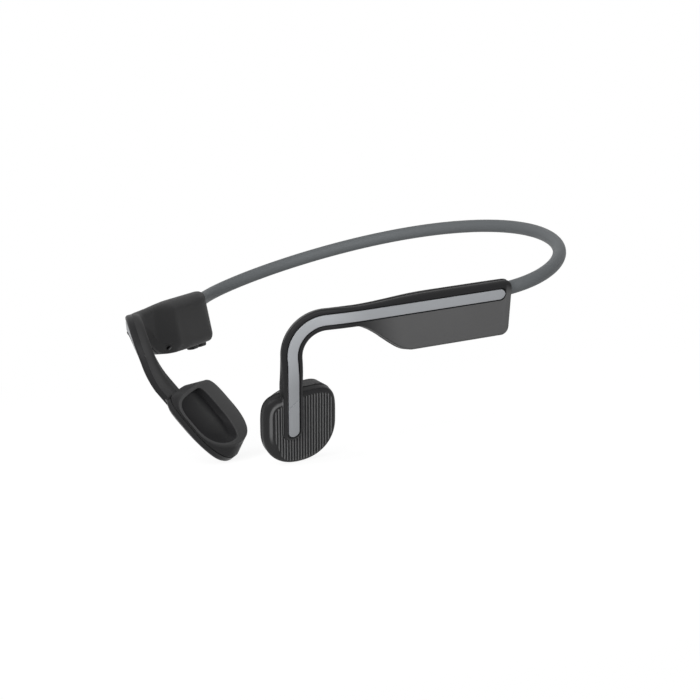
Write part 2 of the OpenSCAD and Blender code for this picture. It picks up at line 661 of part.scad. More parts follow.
// Ring of the dish, grown by grow and then drawn together to a share of its size
function dish_ring(grow, share = 1, points = 40) = [for (k = [0 : points - 1])
    let (c = cos(360 * k / points), s = sin(360 * k / points), e = 2 / (s > 0 ? dish_square : dish_round),
        x = share * (dish_a + grow) * sign(c) * pow(abs(c), e) - dish_ahead)
    [x, share * (dish_b + grow) * sign(s) * pow(abs(s), e) + dish_up - pod_skew * x]];
skin_edge = 1;
module pod_body(side) {
    points = 40;
    cavity = pod_outline(wall + taper_side, wall + taper_end, points);
    tapered = pod_outline(taper_side, taper_end, points);
    inside = concat(
        [for (k = [0.36, 0.7, 1]) [for (p = cavity) [k * p[0], k * p[1], inside_at(k * p[0])]]],
        [[for (p = pod_outline(wall + 0.7 * taper_side, wall + 0.7 * taper_end, points))
            [p[0], p[1], max(floor_z + 1, inside_at(p[0]) + 0.1)]]],
        [for (i = [wall, 0]) [for (p = pod_outline(i, i, points)) [p[0], p[1], body_z]]]);
    edges = [for (p = tapered) min(skin_edge, body_z - 0.2 - rim_at(p[0]))];
    outside = [for (a = [0 : 30 : 90]) [for (k = [0 : points - 1])
        let (i = edges[k] * (1 - cos(a)), p = pod_outline(taper_side + i, taper_end + i, points)[k])
        [p[0], p[1], rim_at(p[0]) + edges[k] * (1 - sin(a))]]];
    dish = [for (q = [[0.2, 1, 0], [0, 1, 0.6], [-0.4, 1, 1], [-0.4, 0.6, 1], [-0.4, 0.3, 1]])
        [for (p = dish_ring(q[0], q[1])) [p[0], p[1], mix(rim_at(p[0]), dish_at(p[0]), q[2])]]];
    last = [[for (p = dish_ring(-0.4, 0.1)) [p[0], p[1], dish_at(-dish_ahead)]]];
    sided(side) color(shell_black) in_pod() skin(concat(inside, outside, dish, last));
}

// Transducer, stacked on the pod's floor

// Distance of the transducer behind the pod's centre, where the pod is thicker
drive_x = 2.2;
plate_r = pod_a - wall - taper_side - drive_x - 4 * snug;
rim_z = floor_z + yoke_lift;
yoke_top = plate_z - 0.3;
yoke_base = 0.8;
pole_t = 0.5;
holder_t = 0.5;
module tube(r, inner, h) {
    difference() {
        cylinder(r = r, h = h);
        translate([0, 0, -1]) cylinder(r = inner, h = h + 2);
    }
}
module transducer_frame(side) {
    foot = floor_z + 0.55;
    sided(side) color(steel) in_pod() translate([drive_x, 0, foot])
        tube(plate_r, plate_r - 1, rim_z - foot - snug / 2);
}
module spring_plate(side) {
    sided(side) color(steel) in_pod() translate([drive_x, 0, rim_z]) difference() {
        tube(plate_r, yoke_r + snug, plate_t);
        for (a = [0 : 120 : 240]) rotate([0, 0, a]) translate([yoke_r + 0.7, -2.5, -1]) cube([0.6, 5, 3]);
    }
}
module yoke(side) {
    sided(side) color(steel) in_pod() translate([drive_x, 0, 0]) difference() {
        translate([0, 0, rim_z]) cylinder(r = yoke_r, h = yoke_top - rim_z);
        translate([0, 0, rim_z - 1]) cylinder(r = yoke_r - yoke_wall, h = yoke_top - rim_z + 1 - yoke_base);
    }
}
module magnet(side) {
    sided(side) color([0.8, 0.8, 0.82]) in_pod() translate([drive_x, 0, rim_z + pole_t])
        cylinder(r = magnet_r, h = yoke_top - yoke_base - rim_z - pole_t);
}
module pole_plate(side) {
    sided(side) color(steel) in_pod() translate([drive_x, 0, rim_z]) cylinder(r = magnet_r, h = pole_t);
}
module coil_holder(side) {
    sided(side) color(shell_black) in_pod() translate([drive_x, 0, floor_z])
        cylinder(r = coil_r + coil_w, h = holder_t);
}
module coil(side) {
    foot = floor_z + holder_t;
    sided(side) color([0.72, 0.42, 0.2]) in_pod() translate([drive_x, 0, foot])
        tube(coil_r + coil_w, coil_r, rim_z + pole_t + 0.6 - foot);
}

// Wires in the hooks

wire_gap = 0.75;
wire_reach = pod_drop - pod_b + 2.4;
module hook_wire(side, d, u) {
    starts = [rise_start - nose_room + 0.4, rise_start + 5, rise_start + 11, straight_l];
    frames = concat([for (s = starts) straight(s)], curved_frames);
    rings = concat([for (f = frames) [f, 0]], [[pod_frame, wire_reach]]);
    sided(side) skin([for (q = rings) [for (k = [0 : 60 : 300])
        at(q[0], u + d / 2 * cos(k), d / 2 * sin(k) - wire_n, q[1])]]);
}
module hook_spring(side) { color(steel) hook_wire(side, spring_d, wire_gap); }
module hook_cable(side) { color(shell_black) hook_wire(side, cable_d, -wire_gap); }

module band_anchor(side) {
    hole = [max(spring_d, cable_d) + 2 * snug, 2 * wire_off + (spring_d + cable_d) / 2 + 2 * snug];
    sided(side) color(steel) along_band_end(anchor_in) difference() {
        block([hole[0] + 2 * anchor_wall, hole[1] + 2 * anchor_wall, anchor_l]);
        block([hole[0], hole[1], anchor_l + 2], [0, 0, -1]);
    }
}

// Left housing

base_u = -housing_drop + wall;
floor_lean = atan(top_thinner / (housing_drop + housing_top));
// Frame on the hollow's floor: x towards the back, y up along the floor, z off the floor
module on_floor(s, along, off) {
    in_housing(s, base_u, wall - housing_t + top_thinner * rel(base_u)) rotate([floor_lean, 0, 0])
        translate([0, along, off]) children();
}
battery_low = 0.5;
battery_along = battery_low + battery_h / 2;
battery_mid = battery_start + battery_l / 2;
battery_off = snug + pad_t;
module battery_pad() {
    color([0.2, 0.2, 0.2]) on_floor(battery_mid, battery_along, snug / 2)
        block([battery_l - 4, battery_h - 3, pad_t]);
}
module battery() {
    r = 1;
    color([0.75, 0.76, 0.78]) on_floor(battery_mid, battery_along, battery_off) {
        block([battery_l, battery_h - 2 * r, battery_t]);
        block([battery_l, battery_h, battery_t - 2 * r], [0, 0, r]);
    }
}
module battery_board() {
    t = 0.8;
    color(board_green) on_floor(battery_start - snug - t / 2, battery_along, battery_off + 0.3)
        block([t, battery_h - 1, battery_t - 0.6]);
}

// Right housing

board_mid = board_start + board_l / 2;
board_low = 1.2;
board_along = board_low + board_h / 2;
board_off = snug + carrier_t;
face_off = board_off + board_t + snug / 4;
// Notch round the socket, through the board and its carrier
module socket_notch() {
    l = socket_w + 4 * snug;
    h = socket_l + 4 * snug;
    on_floor(port_s, 0, -1) block([l, 2 * h, carrier_t + board_t + 3]);
}
module board_carrier() {
    rim = 1.2;
    color(shell_black) difference() {
        on_floor(board_mid, board_along, snug / 2) block([board_l, board_h, carrier_t]);
        on_floor(board_mid, board_along, -1) block([board_l - 2 * rim, board_h - 2 * rim, carrier_t + 2]);
        socket_notch();
    }
}
module main_board() {
    tab_l = 2.2;
    tab_h = 3.4;
    color(board_green) difference() {
        on_floor(board_mid, board_along, board_off) union() {
            block([board_l, board_h, board_t]);
            translate([board_l / 2 - 1, -board_h / 2, 0]) cube([tab_l + 1, tab_h, board_t]);
        }
        socket_notch();
    }
}
can = [10, 5, 1.4];
module shield_can() {
    color(steel) on_floor(board_start + 0.6 + can[0] / 2, board_low + board_h - can[1] / 2, face_off)
        block(can);
}
module antenna() {
    size = [7, 1.6, 1];
    color([0.85, 0.83, 0.78]) on_floor(port_s, board_low + board_h - size[1] / 2 - 0.2, face_off) block(size);
}
module usb_socket() {
    shell = 0.3;
    color(steel) from_underside(port_s, -port_n, wall + snug + socket_l) difference() {
        linear_extrude(socket_l) slot_outline(socket_w, socket_t);
        translate([0, 0, 1]) linear_extrude(socket_l) difference() {
            slot_outline(socket_w - 2 * shell, socket_t - 2 * shell);
            square([socket_w - 3, 0.7], center = true);
        }
    }
}
cover_t = 0.9;
module usb_cover() {
    color(shell_black) from_underside(port_s, -port_n, cover_t) slot(cover_l, cover_w, cover_t);
}
module volume_key(place) {
    color(shell_black) from_underside(keys_mid + place * keys_pitch / 2, -port_n, wall + snug) {
        slot(key_l, key_w, wall + snug + key_proud);
        translate([0, 0, -flange_t]) slot(key_l + 2 * flange, key_w + 2 * flange, flange_t);
    }
}
module volume_up_key() { volume_key(1); }
module volume_down_key() { volume_key(-1); }
plunger_h = 0.3;
// Reach of the switches back to the board's face, which leans
switch_back = 1.15;
module volume_switches() {
    lift = wall + snug + flange_t + key_travel + 0.05;
    body = [3.2, 1.6, 2.6];
    color(steel) for (x = [-1, 1]) in_housing(keys_mid + x * keys_pitch / 2, -housing_drop + lift, -port_n) {
        translate([-body[0] / 2, plunger_h, -switch_back]) cube(body);
        translate([0, plunger_h, 0]) rotate([90, 0, 0]) cylinder(d = 1.4, h = plunger_h);
    }
}
module microphone() {
    size = [2.3, 1.8, 0.9];
    color([0.8, 0.75, 0.55]) at_mic(wall + 1.6) block(size);
}
module microphone_mesh() {
    color(steel) at_mic(0.6) cylinder(d = mic_port_d - snug, h = 0.3);
}
module status_light() {
    color([0.9, 0.9, 0.88]) from_underside(light_s, -port_n, wall + 1.2) cylinder(d = light_d, h = wall + 1.2);
}

neckband_sleeve();
neckband_spring();
neckband_cable();
outer_shell("left");  // left_outer_shell
inner_shell("left");  // left_inner_shell
housing_gasket("left");  // left_housing_gasket
strip("left");  // left_strip
hook_spring("left");  // left_hook_spring
hook_cable("left");  // left_hook_cable
band_anchor("left");  // left_band_anchor
pod_cover("left");  // left_pod_cover
pod_gasket("left");  // left_pod_gasket
pod_body("left");  // left_pod_body
transducer_frame("left");  // left_transducer_frame
spring_plate("left");  // left_spring_plate
yoke("left");  // left_yoke
magnet("left");  // left_magnet
pole_plate("left");  // left_pole_plate
coil("left");  // left_coil
coil_holder("left");  // left_coil_holder
outer_shell("right");  // right_outer_shell
inner_shell("right");  // right_inner_shell
housing_gasket("right");  // right_housing_gasket
strip("right");  // right_strip
hook_spring("right");  // right_hook_spring
hook_cable("right");  // right_hook_cable
band_anchor("right");  // right_band_anchor
pod_cover("right");  // right_pod_cover
pod_gasket("right");  // right_pod_gasket
pod_body("right");  // right_pod_body
transducer_frame("right");  // right_transducer_frame
spring_plate("right");  // right_spring_plate
yoke("right");  // right_yoke
magnet("right");  // right_magnet
pole_plate("right");  // right_pole_plate
coil("right");  // right_coil
coil_holder("right");  // right_coil_holder
battery();
battery_board();
battery_pad();
multifunction_key();
multifunction_switch();
multifunction_board();
sided("right") board_carrier();
sided("right") main_board();
sided("right") shield_can();
sided("right") usb_socket();
sided("right") usb_cover();
sided("right") volume_up_key();
sided("right") volume_down_key();
sided("right") volume_switches();
sided("right") antenna();
sided("right") microphone();
sided("right") microphone_mesh();
sided("right") status_light();
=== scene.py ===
import json
from types import SimpleNamespace

import bpy
import numpy as np
from mathutils import Matrix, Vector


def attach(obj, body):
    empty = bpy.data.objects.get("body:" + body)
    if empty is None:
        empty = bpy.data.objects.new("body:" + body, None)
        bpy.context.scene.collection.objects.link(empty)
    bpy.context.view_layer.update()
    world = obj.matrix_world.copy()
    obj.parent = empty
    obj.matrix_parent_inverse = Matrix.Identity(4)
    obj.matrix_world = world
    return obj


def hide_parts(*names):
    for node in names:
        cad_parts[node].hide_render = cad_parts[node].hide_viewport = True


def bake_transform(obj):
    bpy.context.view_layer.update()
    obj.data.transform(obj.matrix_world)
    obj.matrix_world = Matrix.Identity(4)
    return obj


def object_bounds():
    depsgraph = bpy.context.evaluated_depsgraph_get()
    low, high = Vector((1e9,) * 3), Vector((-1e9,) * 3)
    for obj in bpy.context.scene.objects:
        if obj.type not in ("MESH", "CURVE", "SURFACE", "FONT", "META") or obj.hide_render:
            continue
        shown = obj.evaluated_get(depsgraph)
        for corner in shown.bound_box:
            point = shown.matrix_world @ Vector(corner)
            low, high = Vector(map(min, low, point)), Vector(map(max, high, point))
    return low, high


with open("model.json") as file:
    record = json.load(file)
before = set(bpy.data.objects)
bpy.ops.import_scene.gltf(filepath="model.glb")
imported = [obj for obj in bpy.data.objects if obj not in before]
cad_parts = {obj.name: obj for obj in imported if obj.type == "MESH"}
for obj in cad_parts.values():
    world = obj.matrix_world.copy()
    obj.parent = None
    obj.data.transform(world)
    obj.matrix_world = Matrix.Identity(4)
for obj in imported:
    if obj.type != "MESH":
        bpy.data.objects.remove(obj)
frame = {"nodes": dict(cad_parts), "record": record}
cad_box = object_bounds()

bl_info = {
    "name": "Bone conduction headphones",
    "version": (1, 0, 0),
    "blender": (4, 5, 0),
    "location": "3D View > Sidebar > Headphones",
    "description": "Shells, strips, pods, keys and neckband around the packed solids",
    "category": "Object",
}

SIDES = ("left", "right")
FLIP_X = np.array([-1.0, 1.0, 1.0])
UP = np.array([0.0, 0.0, 1.0])

# Thinnest wall, where a hollow or a groove isn't open yet, in millimetres as all sizes below
SLIVER = 0.04
# Run of the inner shells' ends into the pods
POD_OVERLAP = 0.7
# Parting gap along the hook, where no gasket is left
CLOSED_GAP = 0.02
# Run over which the lean of the back end fades out
LEAN_FADE = 20
# How far before the underside's rise the top edge comes down and the inner face draws in
TOP_LEAD, INNER_LEAD = 8, 4
# How far before the end of that rise the gasket ends and the hollow is down to the wires' channel
GASKET_SHORT, CHANNEL_SHORT = 8, 4
# Wall behind the neckband's socket, and the run over which the hollow widens after it
BOSS_WALL, BOSS_RAMP = 0.8, 0.6
# How much higher and deeper the outer shell's top edge is rounded along the housing, as shares
TOP_EDGE_H, TOP_EDGE_D = 0.6, 0.9
# Largest share of the depth that a corner of the inner shell may take
CORNER_SHARE = 0.7
# Least half width of the groove, at its ends
LEAST_HALF = 0.3
# Distance of the multifunction key's seam below the pod's top edge
SEAM_DROP = 1.7
# Thickness of the pod cover's plate
PLATE_T = 1.0
# Sections along bend, hook and arm
HOOK_STATIONS = 62
# Distance from the boss to the far end of a band anchor
ANCHOR_RUN = 2.7
# Reach and thickness of a volume key's flange, and the room above the wall that it moves in
FLANGE, FLANGE_T, FLANGE_ROOM = 0.4, 0.5, 1.05
# Edge radii of the volume keys and of the flap, and the flap's thickness
KEY_EDGE, FLAP_EDGE, FLAP_T = 0.45, 0.25, 0.9
# Radius of the multifunction key's stem, its distance below the pod's top and its end below the plate
STEM_R, STEM_DROP, STEM_PAST = 0.8, 4.5, 0.25
# Distance of the microphone's port past the start of the rise, and its share of the way up the bevel
MIC_AHEAD, MIC_UP = 1.5, 0.35
# Wall under the dish, the pod gasket's thickness, and the edge rounding of the pod's rim and of its joint
DISH_WALL, POD_GASKET, RIM_EDGE, JOINT_EDGE = 1.0, 0.3, 0.4, 0.2

# Name, place, diameter and power of each lamp, in metres and watts
LAMPS = (("key_light", (0.72, -0.76, 0.36), 0.9, 5.6),
         ("top_light", (-0.15, -0.6, 0.75), 0.5, 1.5),
         ("front_light", (0.15, -0.95, 0.30), 0.3, 2.4))
LAMP_AIM = np.array([0.0, 0.03, -0.01])
# The camera, fitted to the photograph with the solids: place in metres, then yaw, pitch and roll in degrees
CAMERA_PLACE = np.array([0.45874, -0.51741, 0.05869])
CAMERA_TURN = (39.11, -5.86, 5.89)
CAMERA_LENS, CAMERA_SENSOR = 123.7, 36.0
WHITE = (1, 1, 1, 1)
# Edges with a greater angle stay sharp in the shading
SHARP_ANGLE = np.radians(38)
# Height of the grain of a surface, in metres
GRAIN_HEIGHT = 0.0001


# Properties


def length(name, mm, text):
    """A size that the panel shows in metres."""
    return bpy.props.FloatProperty(
        name=name, description=text, default=mm / 1000, unit="LENGTH", precision=5)


def angle(name, degrees, text):
    return bpy.props.FloatProperty(
        name=name, description=text, default=np.radians(degrees), subtype="ANGLE")


def ratio(name, value, text):
    return bpy.props.FloatProperty(name=name, description=text, default=value, precision=3)


def colour(name, rgb, text):
    return bpy.props.FloatVectorProperty(
        name=name, description=text, default=(*rgb, 1.0), size=4, subtype="COLOR", min=0, max=1)


class HeadphoneSizes(bpy.types.PropertyGroup):
    """Sizes that the solids share, and those of edges, strip and dish that only the scene has."""
    half_width: length("Half width", 62.6, "Half the distance between the outer faces at the back ends")
    back_reach: length("Back reach", 46, "Distance from the ear line back to the housings' back ends")
    toe_in: angle("Toe-in", 21.2, "Angle at which the housings draw together towards the front")
    rise_start: length("Rise start", 34.5, "Distance from the back end to where the underside rises")
    rise_l: length("Rise length", 17.5, "Run over which the underside rises to the arm")
    nose_l: length("Nose length", 14.2, "Straight run from there to the bend of the hook")
    housing_top: length("Housing top", 4, "Height of the housing above the middle of the strip")
    housing_drop: length("Housing drop", 11.8, "Depth of the housing below the middle of the strip")
    housing_t: length("Housing thickness", 8.4, "Thickness from the outer to the inner face")
    back_lean: ratio("Back lean", 0.22, "Forward lean of the back end, run over height")
    back_r: length("Back corner", 2.3, "Corner radius of the back end")
    edge_r: length("Face edge", 0.8, "Edge radius of the outer face")
    inner_r: length("Inner corner", 2.2, "Corner radius along the inner face")
    top_r: length("Inner top edge", 3.3, "Edge radius along the inner shell's top")
    front_bevel: length("Front bevel", 3.6, "Width of the bevel under the inner face, towards the arm")
    top_thinner: length("Top taper", 1.4, "How much thinner the housing is along its top edge")
    fall_top: length("Fall at the top", 4, "How far the inner face falls away at the back end's top")
    fall_low: length("Fall at the foot", 1, "How far the inner face falls away at the back end's foot")
    fall_top_l: length("Run at the top", 11, "Run of that fall along the top")
    fall_low_l: length("Run at the foot", 4, "Run of that fall along the foot")
    bend_l: length("Bend length", 11.7, "Length of the bend between housing and hook")
    bend_angle: angle("Bend angle", 27, "Turn of that bend towards the head")
    hook_r: length("Hook radius", 10.7, "Radius of the hook over the ear")
    hook_lean: angle("Hook lean", 11, "Lean towards the head gained in the hook")
    hook_twist: angle("Hook twist", 16, "Twist gained in the hook")
    arm_l: length("Arm length", 9, "Length of the arm between hook and pod")
    arm_lean: angle("Arm lean", 17.5, "Lean towards the head gained in the arm")
    arm_twist: angle("Arm twist", 19, "Twist gained in the arm")
    arm_w: length("Arm width", 6, "Width of the arm")
    arm_t: length("Arm thickness", 4.6, "Thickness of the arm")
    strip_w: length("Strip groove", 4.0, "Width of the strip's groove on the arm")
    strip_narrow: length("Strip narrowing", 0.5, "How much narrower the groove is on housing and hook")
    strip_low: length("Strip drop", 0.2, "How far the strip lies below the path on housing and hook")
    strip_start: length("Strip start", 2, "Distance of the strip's back end from the housing's")
    strip_edge: length("Strip edge", 0.16, "Softening of the strip's edges")
    strip_gap: length("Strip gap", 0.34, "Shadow gap on each side of the strip")
    top_step: length("Top step", 0.3, "How much lower the outer shell's top is than the inner shell's")
    groove_d: length("Groove depth", 0.7, "Depth of the strip's groove")
    groove_lip: length("Groove lip", 0.12, "Softening of the groove's lips")
    seam_gap: length("Seam gap", 0.25, "Gap between the strip and the multifunction key")
    seam_slant: ratio("Seam slant", 0.7, "Slant of the seam above the multifunction key")
    pod_a: length("Pod half width", 11.5, "Half the width of the pod")
    pod_b: length("Pod half height", 12.9, "Half the height of the pod")
    pod_t: length("Pod thickness", 8.4, "Thickness of the pod at its back, without the rib")
    pod_front: length("Pod front", 2.9, "Thickness of the pod at its front edge")
    wedge_run: length("Wedge run", 21, "Distance over which the pod grows to its full thickness")
    pod_square: ratio("Pod squareness", 2.2, "Squareness below the pod's centre, 2 is an ellipse")
    pod_corner: ratio("Pod corner", 4.6, "Squareness above the pod's centre")
    pod_skew: ratio("Pod skew", 0.12, "Rise of the pod's outline towards its front, height over run")
    pod_drop: length("Pod drop", 17.1, "Distance from the arm's lower end to the pod's centre")
    pod_edge_r: length("Pod edge", 0.95, "Radius of the pod cover's edge")
    strip_ahead: length("Strip offset", 2.7, "Distance of the strip in front of the pod's centre")
    rib_h: length("Rib height", 1.4, "Height of the strip's rib over the pod's face")
    rib_end: length("Rib end", 1.5, "Distance of the rib's end below the pod's centre")
    flute_step: length("Fine rib step", 0.88, "Spacing of the fine ribs on the pod cover")
    flute_w: length("Fine rib width", 0.42, "Width of one fine rib")
    flute_h: length("Fine rib height", 0.35, "Height of the fine ribs")
    dish_d: length("Dish depth", 2.6, "Depth of the dish on the skin side, at the back")
    dish_ahead: length("Dish offset", 2, "Distance of the dish's centre in front of the pod's")
    dish_front: length("Dish to the front", 8.7, "Reach of the dish from its centre to the front")
    dish_back: length("Dish to the back", 4.4, "Reach of the dish from its centre to the back")
    dish_top: length("Dish to the top", 9.8, "Reach of the dish from its centre to the top")
    dish_foot: length("Dish to the foot", 9.1, "Reach of the dish from its centre to the foot")
    dish_square: ratio("Dish squareness", 4.6, "Squareness of the dish's outline above its centre")
    dish_round: ratio("Dish roundness", 2.3, "Squareness of the dish's outline below its centre")
    dish_run: length("Dish run", 9.5, "Distance over which the dish's floor goes down from the front")
    dish_lip: length("Dish lip", 0.6, "Depth of the dish at its front")
    ridge_h: length("Front ridge", 0.35, "Height of the soft ridge along the front of the pod cover")
    taper_side: length("Side taper", 0.4, "How much the pod's front and back draw in towards the skin")
    taper_end: length("End taper", 2.2, "How much the pod's top and foot draw in towards the skin")
    cover_h: length("Cover depth", 2.2, "Depth of the pod cover from its face to its joint")
    band_d: length("Neckband", 4, "Outer diameter of the neckband")
    band_bore: length("Neckband bore", 2.1, "Diameter of the neckband's bore")
    band_start_u: length("Band height", 0.9, "Height of the neckband's ends above the strip's middle")
    band_start_n: length("Band depth", 3.6, "Depth of the neckband's ends behind the outer face")
    band_bury: length("Band hold", 3.6, "Length of the neckband held in each housing")
    band_splay: angle("Band splay", 30, "Outward angle at which the neckband leaves the housings")
    band_slope: ratio("Band slope", 0.1, "Upward slope at which the neckband leaves the housings")
    band_side: length("Band guide", 26.4, "Length of the first guide of the neckband's curve")
    band_back_half: length("Band back", 44.8, "Half width of the neckband's curve at its back")
    band_back: length("Band reach", 112, "Distance of the neckband's back from the ear line")
    band_rise: length("Band rise", 15, "Height of the neckband's back above the strips")
    wall: length("Wall", 1.2, "Wall of the shells and pods")
    face_wall: length("Face wall", 1.4, "Wall of the outer shell behind its face")
    part_n: length("Parting depth", 2, "Depth of the parting line behind the outer face")
    part_gap: length("Parting gap", 0.3, "Gap at the parting line, filled by the gasket")
    snug: length("Glued gap", 0.1, "Clearance between pieces that are glued or clipped together")
    run_clear: length("Running gap", 0.15, "Clearance around moving keys and the flap")
    channel_w: length("Channel", 3, "Width of the wire channel in the arm")
    wire_off: length("Wire offset", 0.5, "Distance of each wire from the middle of its channel")
    spring_d: length("Spring wire", 0.9, "Diameter of the spring wires")
    cable_d: length("Cable", 0.8, "Diameter of the signal cables")
    key_l: length("Key length", 5.7, "Length of a volume key")
    key_w: length("Key width", 2.6, "Width of a volume key")
    key_proud: length("Key height", 1.3, "Height of a volume key below the underside")
    keys_mid: length("Keys' place", 9.8, "Distance from the back end to the middle of the volume keys")
    keys_pitch: length("Keys' pitch", 6.8, "Distance between the centres of the volume keys")
    port_n: length("Port depth", 4.35, "Depth of the keys and the socket behind the outer face")
    port_s: length("Port place", 26.8, "Distance from the back end to the middle of the socket")
    cover_l: length("Flap length", 10.1, "Length of the charging flap")
    cover_w: length("Flap width", 3.4, "Width of the charging flap")
    mic_port_d: length("Microphone port", 1.5, "Diameter of the microphone's port")
    light_d: length("Light", 1.2, "Diameter of the status light")


class HeadphoneFinishes(bpy.types.PropertyGroup):
    """Colours of the surfaces that show; the deep black is painted shade and the crests' grey is a painted
    highlight.
    """
    housing: colour("Housing", (0.122, 0.122, 0.123), "Matte dark grey of the outer faces")
    black: colour("Black", (0.052, 0.052, 0.053), "Matte black of the inner shells and pods")
    # Painted shade: the deep black darkens the hooks, the outer shell's top, groove and rounded edges, the
    # pods' dishes and sides, and the fine ribs' valleys
    deep: colour("Deep black", (0.020, 0.020, 0.021), "Black of the hooks and the pods' grooves")
    strip: colour("Strip", (0.41, 0.425, 0.445), "Satin grey of the strips and the multifunction key")
    band: colour("Band", (0.158, 0.169, 0.176), "Grey of the silicone neckband")
    rim: colour("Rim", (0.085, 0.085, 0.086), "Dark grey of the pods' rims on the skin side")
    # Painted highlight: the crests' lighter grey stands in for the light that the fine ribs catch
    crest_highlight: colour("Crests", (0.19, 0.19, 0.192), "Grey of the fine ribs' crests on the pods")
    rubber: colour("Rubber", (0.012, 0.012, 0.013), "Black of gaskets, flap and cable jackets")


def sizes():
    """The panel's sizes in millimetres and degrees, and the lengths that follow from them."""
    group = bpy.context.scene.headphone_sizes
    scale = {"LENGTH": 1000.0, "ROTATION": 180 / np.pi}
    z = SimpleNamespace(**{
        key: getattr(group, key) * scale.get(prop.unit, 1.0)
        for key, prop in group.bl_rna.properties.items() if prop.type == "FLOAT"})
    z.rise_end = z.rise_start + z.rise_l
    z.straight_l = z.rise_start + z.nose_l
    z.gap_end = z.rise_end - GASKET_SHORT
    z.boss_l = z.band_bury + BOSS_WALL
    z.boss_drop = z.band_d / 2 + z.wall - z.band_start_u
    z.rib_half = z.arm_w / 2
    z.seam_at = z.pod_drop - z.pod_b + SEAM_DROP
    z.strip_end = z.pod_drop + z.rib_end
    z.plate_z = -PLATE_T
    # A little more than the radius of the strip's round end
    z.tip_l = z.strip_w / 1.75
    z.path = coarse_path(z)
    z.end = z.path[4][-1]
    return z


# Curves and places, all in millimetres


def smooth(a, b, x):
    """Smoothstep: 0 before a, 1 after b, and 3t^2 - 2t^3 between them."""
    t = np.clip((x - a) / (b - a), 0, 1)
    return t * t * (3 - 2 * t)


def gentle(a, b, x):
    """Like smooth, without a kink in its curvature: 6t^5 - 15t^4 + 10t^3."""
    t = np.clip((x - a) / (b - a), 0, 1)
    return t ** 3 * (10 + t * (6 * t - 15))


def mix(a, b, t):
    return a + (b - a) * t


def bow(count, start=0.0):
    """Steps up to 1 that are closest at their start: 1 - cos over a quarter turn."""
    return 1 - np.cos(np.linspace(start, np.pi / 2, count))


def circle(count):
    """Cosines and sines of equal steps round a circle."""
    a = np.arange(count) * 2 * np.pi / count
    return np.cos(a), np.sin(a)


def bent(c, power):
    """A cosine or sine bent for a superellipse: sign(c) |c|^(2 / power)."""
    return np.sign(c) * np.abs(c) ** (2 / power)


def round_in(r, x):
    """Inset of a surface that rounds off with radius r towards an end at distance x."""
    d = np.clip(r - x, 0, r)
    return r - np.sqrt(r * r - d * d)


def unit(v):
    return v / np.linalg.norm(v, axis=-1, keepdims=True)


def turn(a, b, degrees):
    """Two directions at right angles, turned in their plane."""
    c, s = np.cos(np.radians(degrees)), np.sin(np.radians(degrees))
    return a * c - b * s, b * c + a * s


def swing(f, down, inward, twist):
    """A frame of the path turned down, towards the head and about its own line."""
    p, t, n, u, l = f
    t, u = turn(t, u, down)
    t, n = turn(t, n, inward)
    n, u = turn(n, u, twist)
    return p, t, n, u, l


def housing_axes(z):
    """Directions of the left housing: forward along it, and out of its face."""
    a = np.radians(z.toe_in)
    return np.array([-np.sin(a), -np.cos(a), 0.0]), np.array([np.cos(a), -np.sin(a), 0.0])


def coarse_path(z):
    """Frames of the strip's path from the end of the straight run to the pod, at the solids' own steps.
    Each step turns by half its angles, moves on, and turns by the other half."""
    t, n = housing_axes(z)
    back = np.array([z.half_width, z.back_reach, 0.0])
    frames = [(back + z.straight_l * t, t, n, UP, z.straight_l)]
    for run, count, turns in ((z.bend_l, 5, (0, z.bend_angle, 0)),
                              (z.hook_r * np.pi / 2, 8, (90, z.hook_lean, z.hook_twist)),
                              (z.arm_l, 4, (0, z.arm_lean, z.arm_twist))):
        half = [x / count / 2 for x in turns]
        for _ in range(count):
            p, t, n, u, l = swing(frames[-1], *half)
            frames.append(swing((p + run / count * t, t, n, u, l + run / count), *half))
    return [np.array(column) for column in zip(*frames)]


def frames_at(z, s):
    """Points and axes of the path at the lengths s: straight along the housing, then a cubic between
    the solids' frames that shares their directions, then straight on over the pod."""
    p, t, n, _, l = z.path
    k = np.clip(np.searchsorted(l, s, side="right") - 1, 0, len(l) - 2)
    h = (l[k + 1] - l[k])[:, None]
    x = np.clip((s - l[k])[:, None] / h, 0, 1)
    p0, p1, t0, t1 = p[k], p[k + 1], t[k] * h, t[k + 1] * h
    point = ((2 * x - 3) * x * x + 1) * p0 + ((x - 2) * x + 1) * x * t0 \
        + (3 - 2 * x) * x * x * p1 + (x - 1) * x * x * t1
    forward = unit(6 * (x - 1) * x * (p0 - p1) + ((3 * x - 4) * x + 1) * t0 + (3 * x - 2) * x * t1)
    point = point + np.minimum(s - l[0], 0)[:, None] * t[0] + np.maximum(s - l[-1], 0)[:, None] * t[-1]
    out = mix(n[k], n[k + 1], x)
    out = unit(out - np.sum(out * forward, -1, keepdims=True) * forward)
    return point, forward, out, np.cross(forward, out)


def place(z, s, u, n, ahead=0.0):
    """Points at height u and depth n on the path's frames; the back end leans with height."""
    point, forward, out, up = (x[:, None] for x in frames_at(z, s))
    ahead = ahead - z.back_lean * u * (1 - smooth(0, LEAN_FADE, s))[:, None]
    return point + u[..., None] * up + n[..., None] * out + ahead[..., None] * forward


def spread(*values):
    """Arrays of one shape, each with a last axis for the three coordinates."""
    return (np.asarray(v, float)[..., None] for v in np.broadcast_arrays(*values))


def in_pod(z, x, y, h):
    """Points in the pod's frame: x towards the back, y up, h out of its outer face."""
    p, t, n, u = (column[-1] for column in z.path[:4])
    origin = p + z.pod_drop * t - z.strip_ahead * u - z.rib_h * n
    x, y, h = spread(x, y, h)
    return origin - x * u - y * t + h * n


def in_housing(z, s, u, n, x, y, h):
    """Points in the housing's frame: x towards the back, y up, h outwards, from the place s, u, n."""
    point, forward, out, up = (v[0] for v in frames_at(z, np.array([float(s)])))
    origin = point + u * up + n * out
    x, y, h = spread(x, y, h)
    return origin - x * forward + y * up + h * out


def under_housing(z, s, above, x, y, h):
    """Points under the housing: h counts downwards from above the underside, y outwards."""
    return in_housing(z, s, above - z.housing_drop, -z.port_n, x, -np.asarray(h, float), y)


# Profile of the housing along the path


